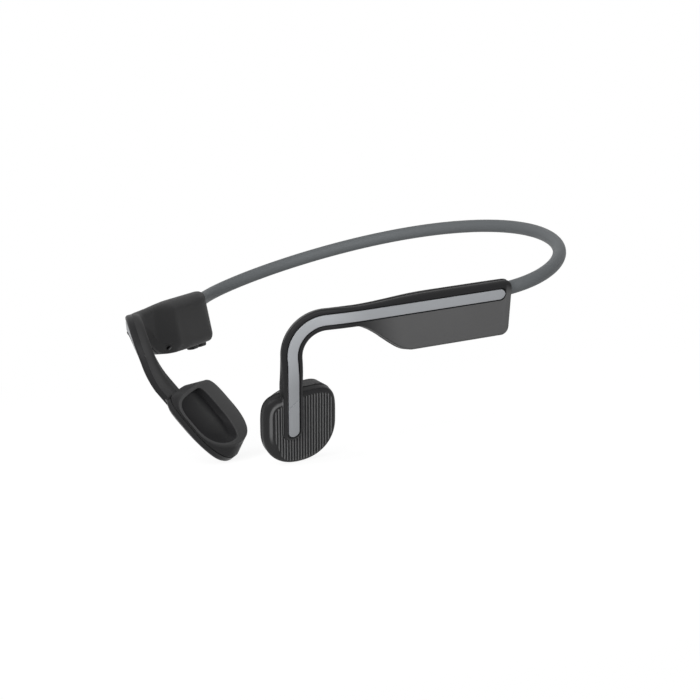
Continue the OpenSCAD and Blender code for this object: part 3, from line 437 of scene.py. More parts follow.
def u_top(z, s):
    """Height of the housing's top edge, round at the back end."""
    return mix(z.housing_top, z.arm_w / 2, smooth(z.rise_start - TOP_LEAD, z.rise_end, s)) \
        - round_in(z.back_r, s)


def u_low(z, s):
    """Height of the underside, round at the back end."""
    return round_in(z.back_r, s) - mix(z.housing_drop, z.arm_w / 2, smooth(z.rise_start, z.rise_end, s))


def inner_n(z, s, u):
    """Place of the inner face: it leans with height, falls away at the back and draws in to the arm."""
    rel = (u + z.housing_drop) / (z.housing_drop + z.housing_top)
    x = np.clip(1 - s / mix(z.fall_low_l, z.fall_top_l, rel), 0, 1)
    fall = mix(z.fall_low, z.fall_top, rel) * (1 - np.sqrt(1 - x * x))
    depth = gentle(z.rise_start - INNER_LEAD, z.gap_end, s)
    return fall - mix(z.housing_t - z.top_thinner * rel, z.arm_t, depth)


def hollow_range(z, s):
    """Lowest and highest place of the hollow, which leaves a boss round the neckband's end."""
    narrow = smooth(z.rise_start, z.rise_end - CHANNEL_SHORT, s)
    low = mix(u_low(z, s) + z.wall, -z.channel_w / 2, narrow)
    top = mix(u_top(z, s) - z.wall, z.channel_w / 2, narrow)
    return low, mix(-z.boss_drop, top, smooth(z.boss_l, z.boss_l + BOSS_RAMP, s))


def strip_upper(z, s):
    """Share of the strip's narrow run on housing and hook, gone at the arm's lower end."""
    return 1 - smooth(z.end - z.arm_l, z.end, s)


def strip_mid(z, s):
    """Height of the strip's middle line, which lies lower on housing and hook."""
    return -z.strip_low * strip_upper(z, s)


def groove_half(z, s):
    """Half width of the strip's groove, round at its back end."""
    w = z.strip_w / 2 - z.strip_narrow / 2 * strip_upper(z, s)
    x = np.clip(s - z.strip_start, 0, w)
    return np.maximum(LEAST_HALF, np.sqrt(w * w - (w - x) ** 2))


def pod_power(z, y):
    """Power of the pod's outline |x/a|^p + |y/b|^p = 1, which is squarer above its centre."""
    return np.where(np.asarray(y) > 0, z.pod_corner, z.pod_square)


def pod_reach(z, x, y=1.0):
    """Height of the pod's outline at x, without its skew: above its centre or, where y is negative, below."""
    p = pod_power(z, y)
    return z.pod_b * np.clip(1 - (np.abs(x) / z.pod_a) ** p, 0, 1) ** (1 / p)


def shell_stations(z):
    """Lengths of the shells' sections, closest where the back end, the groove and the hollow turn, and
    for each the share of the last stretch, which ends on the pod's outline."""
    steps, hair, turn_s = bow(9), 0.01, z.rise_start - 5
    s = np.concatenate([
        z.back_r * steps, z.edge_r * steps, [z.wall, z.wall + 0.6],
        [z.strip_start - hair, z.strip_start + hair], z.strip_start + z.tip_l * steps,
        z.boss_l + BOSS_RAMP * np.array([0, 0.5, 1]), z.gap_end + np.linspace(0, 0.3, 4),
        np.arange(6, turn_s, 1.4), np.arange(turn_s, z.straight_l - 0.3, 0.55),
        np.linspace(z.straight_l, z.end, HOOK_STATIONS)])
    s = np.unique(s.round(3))
    last = np.linspace(0.2, 1, 5)
    return np.append(s, np.full(5, z.end)), np.append(np.zeros(len(s)), last)


def stack_columns(s, columns):
    """Heights and depths of all sections, from columns that may be numbers or arrays over s."""
    return (np.stack(np.broadcast_arrays(*c, s)[:-1], -1) for c in zip(*columns))


def on_path(z, s, share, columns, overlap=0.0):
    """Rings of section columns (height, depth); the last stretch runs to the pod's top edge, or past it."""
    u, n = stack_columns(s, columns)
    ahead = u + z.strip_ahead
    edge = z.pod_drop - pod_reach(z, ahead) - z.pod_skew * ahead + overlap
    return place(z, s, u, n, share[:, None] * edge)


def arc(u, n, ru, rn, start, stop, count):
    """Section columns on a quarter of an ellipse round the centre u, n."""
    return [(u + ru * np.cos(a), n + rn * np.sin(a)) for a in np.radians(np.linspace(start, stop, count))]


def outer_rings(z):
    """Outer shell: a face with rounded edges and the strip's groove, and the hollow behind it."""
    s, share = shell_stations(z)
    straight = 1 - smooth(z.rise_end, z.straight_l + z.bend_l, s)
    t = u_top(z, s) - z.top_step * straight
    b, o, p, e = u_low(z, s), -round_in(z.edge_r, s), -z.part_n, z.edge_r
    g, m, closed = groove_half(z, s), strip_mid(z, s), s < z.strip_start
    d = np.where(closed, o - SLIVER, -z.groove_d)
    r = np.minimum(z.groove_lip, (o - d) * 0.8)
    # The top edge's rounding stays clear of the groove and of the parting line
    high = np.minimum(e * (1 + TOP_EDGE_H * straight), t - m - g - r - 0.1)
    deep = np.minimum(e * (1 + TOP_EDGE_D * straight), o - p - 0.05)
    h = np.where(s < z.wall + SLIVER, p + SLIVER, -z.face_wall)
    low, top = hollow_range(z, s)
    one = np.ones_like(s)
    columns = [(t, p * one)] + arc(t - high, o - deep, high, deep, 0, 90, 9)
    columns += arc(m + g + r, o - r, r, r, 90, 180, 4) + [(m + g, d), (m - g, d)]
    columns += arc(m - g - r, o - r, r, r, 0, 90, 4)
    columns += arc(b + e, o - e, e, e, 90, 180, 7)
    columns += [(b, p * one), (low, p * one), (low, h), (top, h), (top, p * one)]
    return on_path(z, s, share, columns)


def foot_corner(z, s):
    """Corner of the inner shell's foot, which widens to the bevel at the front."""
    return mix(z.inner_r, z.front_bevel, smooth(z.rise_start - INNER_LEAD, z.rise_start + 3, s))


def inner_rings(z):
    """Inner shell: rounded along the top, bevelled along the foot, with a hollow open to the outer shell.
    The foot's corner goes from a quarter round at the back to a flat bevel at the front."""
    s, share = shell_stations(z)
    p = -z.part_n - mix(z.part_gap, CLOSED_GAP, smooth(z.gap_end, z.gap_end + 0.3, s))
    t, b = u_top(z, s), u_low(z, s)
    nb, nt = inner_n(z, s, b), inner_n(z, s, t)
    rb = foot_corner(z, s)
    rt = mix(z.top_r, z.inner_r, smooth(z.rise_start - 2, z.gap_end, s))
    rb, rt = (np.minimum(r, (p - n) * CORNER_SHARE) for r, n in ((rb, nb), (rt, nt)))
    # 1 where the foot's corner is a flat bevel
    flat = smooth(z.rise_start - 9, z.rise_start - 3, s) * (1 - smooth(z.rise_start + 8, z.rise_end, s))
    columns = [(b, p)]
    for a in np.radians(np.linspace(0, 90, 9)):
        share_up = np.sin(a) ** 2
        bow_u, bow_n = 1 - np.cos(a), 1 - np.sin(a)
        u = b + rb * mix(bow_u, share_up, flat)
        lift = rb * mix(bow_n, 1 - share_up, flat)
        columns.append((u, mix(nb, inner_n(z, s, b + rb), share_up) + lift))
    for k in np.linspace(0, 1, 8)[1:-1]:
        u = mix(b + rb, t - rt, k)
        columns.append((u, inner_n(z, s, u)))
    for a in np.radians(np.linspace(90, 0, 9)):
        u = t - rt * (1 - np.cos(a))
        columns.append((u, mix(nt, inner_n(z, s, t - rt), np.sin(a) ** 2) + rt * (1 - np.sin(a))))
    columns.append((t, p))
    low, top = hollow_range(z, s)
    # The hollow's corners are cut off, so that the wall stays even behind the rounded corners
    cut_t, cut_b = (np.minimum(np.maximum(0.3, 0.6 * r - 0.586 * z.wall), 0.3 * (top - low))
                    for r in (rt, rb))
    columns.append((top, p))
    for u, lift in ((top, cut_t), (top - cut_t, 0), (mix(low, top, 0.6), 0), (mix(low, top, 0.4), 0),
                    (low + cut_b, 0), (low, cut_b)):
        floor = np.minimum(p - SLIVER, inner_n(z, s, u) + z.wall + lift)
        columns.append((u, np.where(s < z.wall + SLIVER, p - SLIVER, floor)))
    columns.append((low, p))
    return on_path(z, s, share, columns, POD_OVERLAP)


def strip_rings(z, side):
    """Strip: a flat bar with softened edges that fills its groove; on the left it ends at the slanted seam
    above the multifunction key, on the right in a round tip."""
    s = np.concatenate([z.strip_start + z.strip_gap + 0.01 + z.tip_l * bow(12),
                        np.arange(5, z.straight_l, 0.8), np.linspace(z.straight_l, z.end, HOOK_STATIONS)])
    half = np.minimum(groove_half(z, s), groove_half(z, s - z.strip_gap)) - z.strip_gap
    end = z.strip_w / 2 - z.strip_gap
    if side == "left":
        extra, halves = np.array([z.seam_at * 0.5, z.seam_at]), np.full(2, end)
    else:
        k = np.sin(np.radians(np.linspace(0, 87, 12)))
        extra, halves = z.strip_end - end + k * end, end * np.sqrt(1 - k * k)
    s, half = np.append(s, z.end + extra), np.append(half, halves)
    r = np.minimum(z.strip_edge, half * 0.7)
    foot = (z.snug / 2 - z.groove_d) * np.ones_like(s)
    edges = arc(half - r, -r, r, r, 0, 90, 5) + arc(r - half, -r, r, r, 90, 180, 5)
    u, n = stack_columns(s, [(half, foot), *edges, (-half, foot)])
    u = u + strip_mid(z, s)[:, None]
    slant = np.where(np.arange(len(s)) == len(s) - 1, z.seam_slant if side == "left" else 0, 0)
    return place(z, s, u, n, slant[:, None] * u)


def band_route(z):
    """Points and directions of the neckband: a cubic from each housing to the middle of the back, run on
    straight into the housings."""
    start = np.array([z.half_width, z.back_reach, z.band_start_u]) - z.band_start_n * housing_axes(z)[1]
    splay = np.radians(z.band_splay)
    away = unit(np.array([np.sin(splay), np.cos(splay), z.band_slope]))
    q = [start, start + z.band_side * away, np.array([z.band_back_half, z.band_back, z.band_rise]),
         np.array([0, z.band_back, z.band_rise])]
    t = np.linspace(0, 1, 97)[:, None]
    r = 1 - t
    points = r ** 3 * q[0] + 3 * r * r * t * q[1] + 3 * r * t * t * q[2] + t ** 3 * q[3]
    ways = unit(r * r * (q[1] - q[0]) + 2 * r * t * (q[2] - q[1]) + t * t * (q[3] - q[2]))
    return np.vstack([points, points[-2::-1] * FLIP_X]), np.vstack([ways, -ways[-2::-1] * FLIP_X])


def tube_rings(z, radius, sides, hold, rise=0.0):
    """Rings round the neckband's route, run on into both housings by hold; rise lifts their centres."""
    p, d = band_route(z)
    p = np.vstack([p[0] - hold * d[0], p, p[-1] + hold * d[-1]])
    d = np.vstack([d[0], d, d[-1]])
    across = unit(np.cross(d, UP))
    lift = np.cross(across, d)
    c, s = circle(sides)
    ring = c[:, None] * across[:, None] + s[:, None] * lift[:, None]
    return (p + rise * lift)[:, None] + radius * ring


def band_end(z, radius, depth, h):
    """Two rings round the neckband's end, at h and at depth inside the housing's back end."""
    p, d = band_route(z)
    across = unit(np.cross(d[0], UP))
    c, s = circle(48)
    ring = c[:, None] * across + s[:, None] * np.cross(across, d[0])
    return np.stack([p[0] - k * d[0] + radius * ring for k in (h, depth)])


def pill(length_mm, width, outset, count=14):
    """Outline of a slot with round ends, grown by outset."""
    r = width / 2 + outset
    a = np.linspace(-np.pi / 2, np.pi / 2, count)
    x, y = (length_mm - width) / 2 + r * np.cos(a), r * np.sin(a)
    return np.append(x, -x), np.append(y, -y)


def inset(x, y, d):
    """A convex outline drawn in by d: each point moves along the mean of its two edges' normals."""
    p = np.stack([x, y], -1)
    edge = unit(np.roll(p, -1, 0) - p)
    normal = np.stack([-edge[:, 1], edge[:, 0]], -1)
    both = normal + np.roll(normal, 1, 0)
    both = both / np.maximum(0.3, np.sum(both * both, -1, keepdims=True) / 2)
    return x + d * both[:, 0], y + d * both[:, 1]


def rounding(r, count=6):
    """Pairs (inset, drop) of a quarter round of radius r, from the side to the top."""
    return list(zip(r * bow(count), r * (1 - np.sin(np.linspace(0, np.pi / 2, count)))))


# Meshes


def make_piece(name, points, faces):
    """Mesh object from points in millimetres and faces; a negative volume turns all faces round."""
    volume = sum(
        np.sum(np.einsum("ij,ij->i", points[f[:, 0]],
                         np.cross(points[f[:, k]], points[f[:, k + 1]])))
        for f in faces for k in range(1, f.shape[1] - 1))
    step = 1 if volume > 0 else -1
    mesh = bpy.data.meshes.new(name)
    mesh.from_pydata((points / 1000).tolist(), [], [row for f in faces for row in f[:, ::step].tolist()])
    piece = bpy.data.objects.new(name, mesh)
    bpy.context.scene.collection.objects.link(piece)
    return piece


def loft(name, rings, side="left", looped=False):
    """Closed surface through rings of equal count: quads between neighbours and one face on each end."""
    if side == "right":
        rings = rings * FLIP_X
    n, k = rings.shape[:2]
    index = np.arange(n * k).reshape(n, k)
    a, b = (index, np.roll(index, -1, 0)) if looped else (index[:-1], index[1:])
    faces = [np.stack([a, np.roll(a, -1, 1), np.roll(b, -1, 1), b], -1).reshape(-1, 4)]
    if not looped:
        faces += [index[:1, ::-1], index[-1:]]
    return make_piece(name, rings.reshape(-1, 3), faces)


def store_share(piece, name, share):
    """Stores a number for each point, for the materials to read."""
    values = np.asarray(share, np.float32)
    piece.data.attributes.new(name, "FLOAT", "POINT").data.foreach_set("value", values)


def combine(piece, operation, *others):
    """Joins the others to a piece or takes them out of it, and removes them."""
    for other in others:
        change = piece.modifiers.new(operation.lower(), "BOOLEAN")
        change.operation, change.solver, change.object = operation, "EXACT", other
    shaped = piece.evaluated_get(bpy.context.evaluated_depsgraph_get())
    mesh = bpy.data.meshes.new_from_object(shaped)
    if len(mesh.polygons) < len(piece.data.polygons) / 2:
        raise RuntimeError(f"{piece.name}: the shape was lost while it was cut")
    piece.modifiers.clear()
    piece.data = mesh
    for other in others:
        bpy.data.objects.remove(other)


def dress(piece, body, slot, material, *nodes):
    """Smooth shading up to an angle, the material, the body it rides on and the solids it stands for."""
    piece.data.shade_smooth()
    piece.data.set_sharp_from_angle(angle=SHARP_ANGLE)
    piece.data.materials.clear()
    piece.data.materials.append(material)
    if body:
        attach(piece, body)
    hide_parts(*nodes)


# Materials


def node(tree, kind, values=None, **settings):
    """Adds a node, sets its options and its inputs, and links the inputs that are given as sockets."""
    made = tree.nodes.new(kind)
    for key, value in settings.items():
        setattr(made, key, value)
    for key, value in (values or {}).items():
        if isinstance(value, bpy.types.NodeSocket):
            tree.links.new(value, made.inputs[key])
        else:
            made.inputs[key].default_value = value
    return made


def math_node(tree, operation, *values, **settings):
    """Result of a Math node on numbers or sockets."""
    return node(tree, "ShaderNodeMath", dict(enumerate(values)), operation=operation, **settings).outputs[0]


def moulded_finish():
    """Group for moulded and coated surfaces: fine grain as height, broad drifts of tone and gloss.
    Stretch scales the object's axes, so that a grain can run one way."""
    found = bpy.data.node_groups.get("moulded_finish")
    if found:
        return found
    tree = bpy.data.node_groups.new("moulded_finish", "ShaderNodeTree")
    for name, kind, value in (("Color", "Color", (0.5, 0.5, 0.5, 1)), ("Tone Drift", "Float", 0.1),
                              ("Roughness", "Float", 0.5), ("Gloss Drift", "Float", 0.1),
                              ("Grain Scale", "Float", 3000.0), ("Stretch", "Vector", (1, 1, 1))):
        socket = tree.interface.new_socket(name=name, in_out="INPUT", socket_type="NodeSocket" + kind)
        socket.default_value = value
    for name, kind in (("Color", "Color"), ("Roughness", "Float"), ("Height", "Float")):
        tree.interface.new_socket(name=name, in_out="OUTPUT", socket_type="NodeSocket" + kind)
    put = tree.nodes.new("NodeGroupInput").outputs
    where = node(tree, "ShaderNodeTexCoord").outputs["Object"]
    laid = node(tree, "ShaderNodeVectorMath", {0: where, 1: put["Stretch"]}, operation="MULTIPLY").outputs[0]
    grain = node(tree, "ShaderNodeTexNoise", {"Vector": laid, "Scale": put["Grain Scale"], "Detail": 3.0,
                                              "Roughness": 0.6}).outputs["Fac"]
    drift = node(tree, "ShaderNodeTexNoise", {"Vector": laid, "Scale": 90.0, "Detail": 4.0}).outputs["Fac"]
    centred = math_node(tree, "SUBTRACT", math_node(tree, "ADD", grain, drift), 1.0)
    tone = math_node(tree, "MULTIPLY_ADD", centred, put["Tone Drift"], 1.0)
    shade = node(tree, "ShaderNodeVectorMath", {0: put["Color"], "Scale": tone}, operation="SCALE").outputs[0]
    gloss = math_node(tree, "MULTIPLY_ADD", centred, put["Gloss Drift"], put["Roughness"], use_clamp=True)
    ends = tree.nodes.new("NodeGroupOutput").inputs
    for socket, name in ((shade, "Color"), (gloss, "Roughness"), (grain, "Height")):
        tree.links.new(socket, ends[name])
    return tree


def new_material(name):
    """Material with a Principled shader and its output."""
    material = bpy.data.materials.new(name)
    material.use_nodes = True
    tree = material.node_tree
    tree.nodes.clear()
    shader = node(tree, "ShaderNodeBsdfPrincipled")
    node(tree, "ShaderNodeOutputMaterial", {"Surface": shader.outputs[0]})
    return material, tree, shader


def finish(name, tint, roughness, grain=3500.0, bump=0.12, tone=0.12, gloss=0.18, metal=0.0, specular=0.3,
           stretch=(1, 1, 1), paint=None):
    """Material with the moulded finish; paint may change the colour before the finish is laid on."""
    found = bpy.data.materials.get(name)
    if found:
        return found
    material, tree, shader = new_material(name)
    base = paint(tree, tint) if paint else (*tint[:3], 1.0)
    laid = node(tree, "ShaderNodeGroup", {
        "Color": base, "Tone Drift": tone, "Roughness": roughness, "Gloss Drift": gloss,
        "Grain Scale": grain, "Stretch": stretch}, node_tree=moulded_finish()).outputs
    relief = node(tree, "ShaderNodeBump", {"Strength": bump, "Distance": GRAIN_HEIGHT,
                                           "Height": laid["Height"]})
    for key, socket in (("Base Color", laid["Color"]), ("Roughness", laid["Roughness"]),
                        ("Normal", relief.outputs[0])):
        tree.links.new(socket, shader.inputs[key])
    shader.inputs["Metallic"].default_value = metal
    shader.inputs["Specular IOR Level"].default_value = specular
    return material


def blend_tint(tree, share, tint, other):
    """Colour that goes from tint to other with a share between 0 and 1."""
    return node(tree, "ShaderNodeMix", {"Factor": share, "A": (*tint[:3], 1), "B": (*other[:3], 1)},
                data_type="RGBA").outputs["Result"]


def share_paint(attribute, other):
    """Paint that turns to another of the panel's colours by the piece's own attribute."""
    def paint(tree, tint):
        share = node(tree, "ShaderNodeAttribute", attribute_name=attribute).outputs["Fac"]
        return blend_tint(tree, share, tint, getattr(bpy.context.scene.headphone_finishes, other))
    return paint


def winding_paint(tree, tint):
    """Enamelled wire: fine bands of light and dark copper."""
    where = node(tree, "ShaderNodeTexCoord").outputs["Object"]
    bands = node(tree, "ShaderNodeTexWave", {"Vector": where, "Scale": 2600.0, "Distortion": 0.6})
    return blend_tint(tree, bands.outputs["Fac"], tint, (0.30, 0.10, 0.03))


def board_paint(tree, tint):
    """Solder mask with lighter tracks along cell borders."""
    where = node(tree, "ShaderNodeTexCoord").outputs["Object"]
    cells = node(tree, "ShaderNodeTexVoronoi", {"Vector": where, "Scale": 700.0}, distance="MANHATTAN",
                 feature="F1").outputs["Distance"]
    track = node(tree, "ShaderNodeMapRange", {"Value": cells, "From Min": 0.42, "From Max": 0.5})
    return blend_tint(tree, track.outputs["Result"], tint, (0.10, 0.42, 0.20))


def finish_for(slot):
    """The finish of a material slot of the record."""
    look = bpy.context.scene.headphone_finishes
    steel = (0.55, 0.56, 0.57)
    table = {
        # The outer shell's grey turns to the deep black by its share of painted shade: shade painted on the
        # hook, the top, the groove and the rounded edges
        "housing_grey": dict(tint=look.housing, roughness=0.44, specular=0.13,
                             paint=share_paint("painted_shade_share", "deep")),
        "housing_black": dict(tint=look.black, roughness=0.5, specular=0.04),
        # The pod's tray turns to the deep black by its share of painted shade: shade painted on its sides and
        # into its dish
        "pod_tray": dict(tint=look.rim, roughness=0.46, specular=0.06,
                         paint=share_paint("painted_dish_shade", "deep")),
        # The pod cover is the deep black, painted shade in the fine ribs' valleys, and turns to the crests'
        # grey, a painted highlight, on the ribs' crests
        "ribbed_cover": dict(tint=look.deep, roughness=0.38, specular=0.16,
                             paint=share_paint("painted_highlight_share", "crest_highlight")),
        "strip_grey": dict(tint=look.strip, roughness=0.40, grain=6000.0, bump=0.06, tone=0.06, specular=0.3),
        "band_silicone": dict(tint=look.band, roughness=0.5, grain=2500.0, bump=0.08, tone=0.1,
                              specular=0.12),
        "seal_rubber": dict(tint=look.rubber, roughness=0.62, grain=2500.0),
        "cable_jacket": dict(tint=look.rubber, roughness=0.5, grain=2500.0),
        "spring_wire": dict(tint=steel, roughness=0.28, metal=1.0, grain=900.0, bump=0.05, stretch=(6, 1, 6)),
        "steel": dict(tint=steel, roughness=0.32, metal=1.0, grain=900.0, bump=0.05, stretch=(1, 1, 8)),
        "magnet_plating": dict(tint=(0.66, 0.65, 0.62), roughness=0.16, metal=1.0, grain=1500.0, bump=0.03),
        "copper_winding": dict(tint=(0.62, 0.27, 0.09), roughness=0.3, metal=1.0, bump=0.2,
                               paint=winding_paint),
        "inner_plastic": dict(tint=(0.03, 0.03, 0.032), roughness=0.5),
        "cell_foil": dict(tint=(0.6, 0.61, 0.63), roughness=0.34, metal=1.0, grain=500.0, bump=0.25),
        "circuit_board": dict(tint=(0.012, 0.11, 0.045), roughness=0.3, grain=1800.0, paint=board_paint),
        "foam": dict(tint=(0.03, 0.03, 0.03), roughness=0.9, grain=1400.0, bump=0.6),
        "ceramic": dict(tint=(0.7, 0.66, 0.57), roughness=0.3, grain=2000.0),
        "chip_case": dict(tint=(0.09, 0.085, 0.08), roughness=0.3, metal=1.0, grain=1500.0, bump=0.05),
        "dark_mesh": dict(tint=(0.02, 0.02, 0.021), roughness=0.6, grain=2600.0, bump=0.5),
        "light_lens": dict(tint=(0.78, 0.78, 0.75), roughness=0.18, grain=2500.0, bump=0.02, specular=0.5),
    }
    return finish(slot + "_finish", **table[slot])


# Operators


class HEADPHONES_OT_neckband(bpy.types.Operator):
    """Builds the neckband's sleeve, spring wire and cable along the band's route"""
    bl_idname = "headphones.neckband"
    bl_label = "Neckband"

    def execute(self, context):
        z = sizes()
        anchor = z.boss_l + ANCHOR_RUN
        outer = tube_rings(z, z.band_d / 2, 40, z.band_bury - z.snug)
        bore = tube_rings(z, z.band_bore / 2, 40, z.band_bury - z.snug)
        pieces = (
            (loft("neckband", np.vstack([outer, bore[::-1]]), looped=True),
             "band_silicone", "neckband_sleeve"),
            (loft("neckband_spring_wire", tube_rings(z, z.spring_d / 2, 16, anchor, z.wire_off)),
             "spring_wire", "neckband_spring"),
            (loft("neckband_cable_core", tube_rings(z, z.cable_d / 2, 16, anchor, -z.wire_off)),
             "cable_jacket", "neckband_cable"))
        for piece, slot, solid in pieces:
            dress(piece, None, slot, finish_for(slot), solid)
            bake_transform(piece)
        return {"FINISHED"}


def shade_shares(z, piece):
    """Stores where painted shade turns the outer shell to the deep black: along the hook, above the strip, in
    the groove and over the rounded edges, where the shell faces away from the light; 0 is the grey of the
    face below the strip."""
    co = np.empty(len(piece.data.vertices) * 3)
    piece.data.vertices.foreach_get("co", co)
    co = co.reshape(-1, 3) * 1000
    co[:, 0] = np.abs(co[:, 0])
    co = co - [z.half_width, z.back_reach, 0]
    s, n = (co @ axis for axis in housing_axes(z))
    # Painted shade: 1 along the hook, above the strip's middle, and down the groove and rounded edges
    share = np.max([smooth(z.rise_start + 2, z.rise_end + 2, s), smooth(0, 1, co[:, 2]),
                    smooth(-0.05, -0.6, n)], 0)
    store_share(piece, "painted_shade_share", share)


class HEADPHONES_OT_shells(bpy.types.Operator):
    """Builds the outer and inner shells of both housings, with the holes for band, keys, flap and light"""
    bl_idname = "headphones.shells"
    bl_label = "Shells"

    def execute(self, context):
        z = sizes()
        hole = z.snug / 2
        for side in SIDES:
            body = f"{side}_side"
            for part, rings, slot in (("outer", outer_rings(z), "housing_grey"),
                                      ("inner", inner_rings(z), "housing_black")):
                piece = loft(f"{side}_{part}_shell_skin", rings, side)
                # The neckband's socket, open to the back, and the passage behind it
                cutters = [loft("cutter", band_end(z, z.band_d / 2 + hole, z.band_bury, -8), side),
                           loft("cutter", band_end(z, z.band_bore / 2 + hole, z.boss_l + 2, 0), side)]
                if side == "right" and part == "inner":
                    cutters += underside_cutters(z)
                combine(piece, "DIFFERENCE", *cutters)
                if part == "outer":
                    shade_shares(z, piece)
                dress(piece, body, slot, finish_for(slot), f"{side}_{part}_shell")
        return {"FINISHED"}


def underside_cutters(z):
    """Slots for the keys and the flap, each with the room of the keys' flanges, and round ports."""
    cutters, above_wall, through = [], z.wall + 1, z.wall + 2

    def slot(s, l, w, above, depth, grow):
        x, y = pill(l, w, grow)
        rings = np.stack([under_housing(z, s, above, x, y, h) for h in (0.0, depth)])
        cutters.append(loft("cutter", rings, "right"))

    for k in (-1, 1):
        s = z.keys_mid + k * z.keys_pitch / 2
        slot(s, z.key_l, z.key_w, z.wall + FLANGE_ROOM, through, z.run_clear)
        slot(s, z.key_l, z.key_w, z.wall + FLANGE_ROOM, FLANGE_ROOM, FLANGE + z.run_clear)
    slot(z.port_s, z.cover_l, z.cover_w, above_wall, through, z.run_clear)
    # The light sits midway between the front key and the flap
    light_s = (z.keys_mid + z.keys_pitch / 2 + z.key_l / 2 + z.port_s - z.cover_l / 2) / 2
    slot(light_s, z.light_d, z.light_d, above_wall, through, z.snug)
    mic_s = z.rise_start + MIC_AHEAD
    low = float(u_low(z, np.array(mic_s)))
    bevel = MIC_UP * float(foot_corner(z, mic_s))
    depth = float(inner_n(z, np.array(mic_s), low)) + bevel
    x, y = (z.mic_port_d / 2 * v for v in circle(32))
    turned = np.sqrt(0.5)
    rings = np.stack([in_housing(z, mic_s, low + bevel, depth, x, turned * (y + h), turned * (h - y))
                      for h in (-1.0, z.wall + 1.5)])
    cutters.append(loft("cutter", rings, "right"))
    return cutters


class HEADPHONES_OT_strips(bpy.types.Operator):
    """Builds the satin strips in the grooves of both sides"""
    bl_idname = "headphones.strips"
    bl_label = "Strips"

    def execute(self, context):
        z = sizes()
        for side in SIDES:
            piece = loft(f"{side}_strip_bar", strip_rings(z, side), side)
            dress(piece, f"{side}_side", "strip_grey", finish_for("strip_grey"), f"{side}_strip")
        return {"FINISHED"}


def cover_height(z, x, y):
    """Height of the pod cover's face: a rounded edge, fine ribs inside it, and the rib that carries the
    strip, with a groove; distances are to the pod's outline and to the rib's middle line."""
    level = y + z.pod_skew * x
    p = pod_power(z, level)
    gx, gy = (np.abs(x) / z.pod_a) ** p, (np.abs(level) / z.pod_b) ** p
    g = np.maximum(gx + gy, 1e-9) ** (1 / p)
    slope = g ** (1 - p) * np.hypot(gx / np.maximum(np.abs(x), 1e-6), gy / np.maximum(np.abs(level), 1e-6))
    d = np.clip((1 - g) / np.maximum(slope, 1e-6), 0, None)
    # 1 in front of the rib and above the foot, where the edge is softer and has a ridge inside it
    front = smooth(2, -6, x) * smooth(-11, -4, y)
    run, drop = z.pod_edge_r * (1 + 1.2 * front), z.pod_edge_r * (1 + 0.3 * front)
    edge = -drop * (1 - np.sqrt(1 - np.clip(1 - d / run, 0, 1) ** 2))
    edge = edge + z.ridge_h * front * smooth(-5, 3, y) * smooth(0.8, 2.0, d) * smooth(3.0, 2.2, d)
    end_y = z.strip_w / 2 - z.rib_end
    from_rib = np.hypot(x + z.strip_ahead, np.minimum(y - end_y, 0))
    fine = np.abs((x / z.flute_step + 0.5) % 1 - 0.5) * z.flute_step
    # The fine ribs start at this distance from the outline
    clear = 1.0 + 2.0 * front
    flutes = z.flute_h * smooth(z.flute_w / 2 + 0.1, z.flute_w / 2 - 0.14, fine) \
        * smooth(clear, clear + 0.4, d) * smooth(z.rib_half + 0.15, z.rib_half + 0.45, from_rib)
    # Section of the strip's rib: rounded edge, steep wall, fillet at its foot, lips and groove
    e, fillet = z.edge_r, 0.3
    over = np.clip(from_rib - (z.rib_half - e), 0, e)
    rib = z.rib_h - (e - np.sqrt(e * e - over * over))
    wall_share = np.clip((from_rib - z.rib_half) / SLIVER, 0, 1)
    rib = mix(rib, fillet, wall_share * (from_rib > z.rib_half))
    past = np.clip(from_rib - z.rib_half - SLIVER, 0, fillet)
    rib = np.where(from_rib > z.rib_half + SLIVER, fillet - np.sqrt(fillet ** 2 - (fillet - past) ** 2), rib)
    lip, half = z.groove_lip, z.strip_w / 2
    near = np.clip(half + lip - from_rib, 0, lip)
    rib = rib - (lip - np.sqrt(lip * lip - near * near))
    rib = np.where(from_rib < half, z.rib_h - z.groove_d, rib)
    return edge * (1 - smooth(0, 0.5, rib)) + flutes + rib


def cover_grid(z):
    """Columns and rows of the pod cover's face, closest at the fine ribs, the rib's walls and the edge."""
    half, lip = z.strip_w / 2, z.groove_lip
    rib_wall = np.array([-0.8, -0.6, -0.42, -0.28, -0.16, -0.08, -0.03, 0, SLIVER, 0.1, 0.2, 0.34])
    groove_wall = np.array([-0.02, 0.0, 0.3 * lip, 0.6 * lip, lip, 2 * lip])
    walls = np.concatenate([z.rib_half + rib_wall, half + groove_wall])
    flank = np.array([0.1, 0.05, 0, -0.05, -0.09, -0.14])
    period = np.concatenate([[-z.flute_step / 2], z.flute_w / 2 + flank])
    period = np.concatenate([period, [0], -period[1:]])
    flutes = (np.arange(-13, 14)[:, None] * z.flute_step + period).ravel()
    x = np.concatenate([flutes, -z.strip_ahead - walls, -z.strip_ahead + walls])
    last = z.pod_a * (1 - 2e-4)
    edge = z.pod_a - 1.4 * bow(9, 0.12)
    x = np.concatenate([x[np.abs(x) < z.pod_a - 0.02], [-last, last], -edge, edge])
    x = np.unique(x[np.abs(x) <= last].round(4))
    x = x[np.append(True, np.diff(x) > 0.012)]
    x[-1] = last
    ends = 0.1 * bow(14)
    v = np.concatenate([1 - ends, ends - 1, np.linspace(-0.9, 0.9, 60), np.linspace(-0.32, -0.08, 48)])
    v = np.unique(v.round(5))
    return x, v[np.append(True, np.diff(v) > 4e-4)]


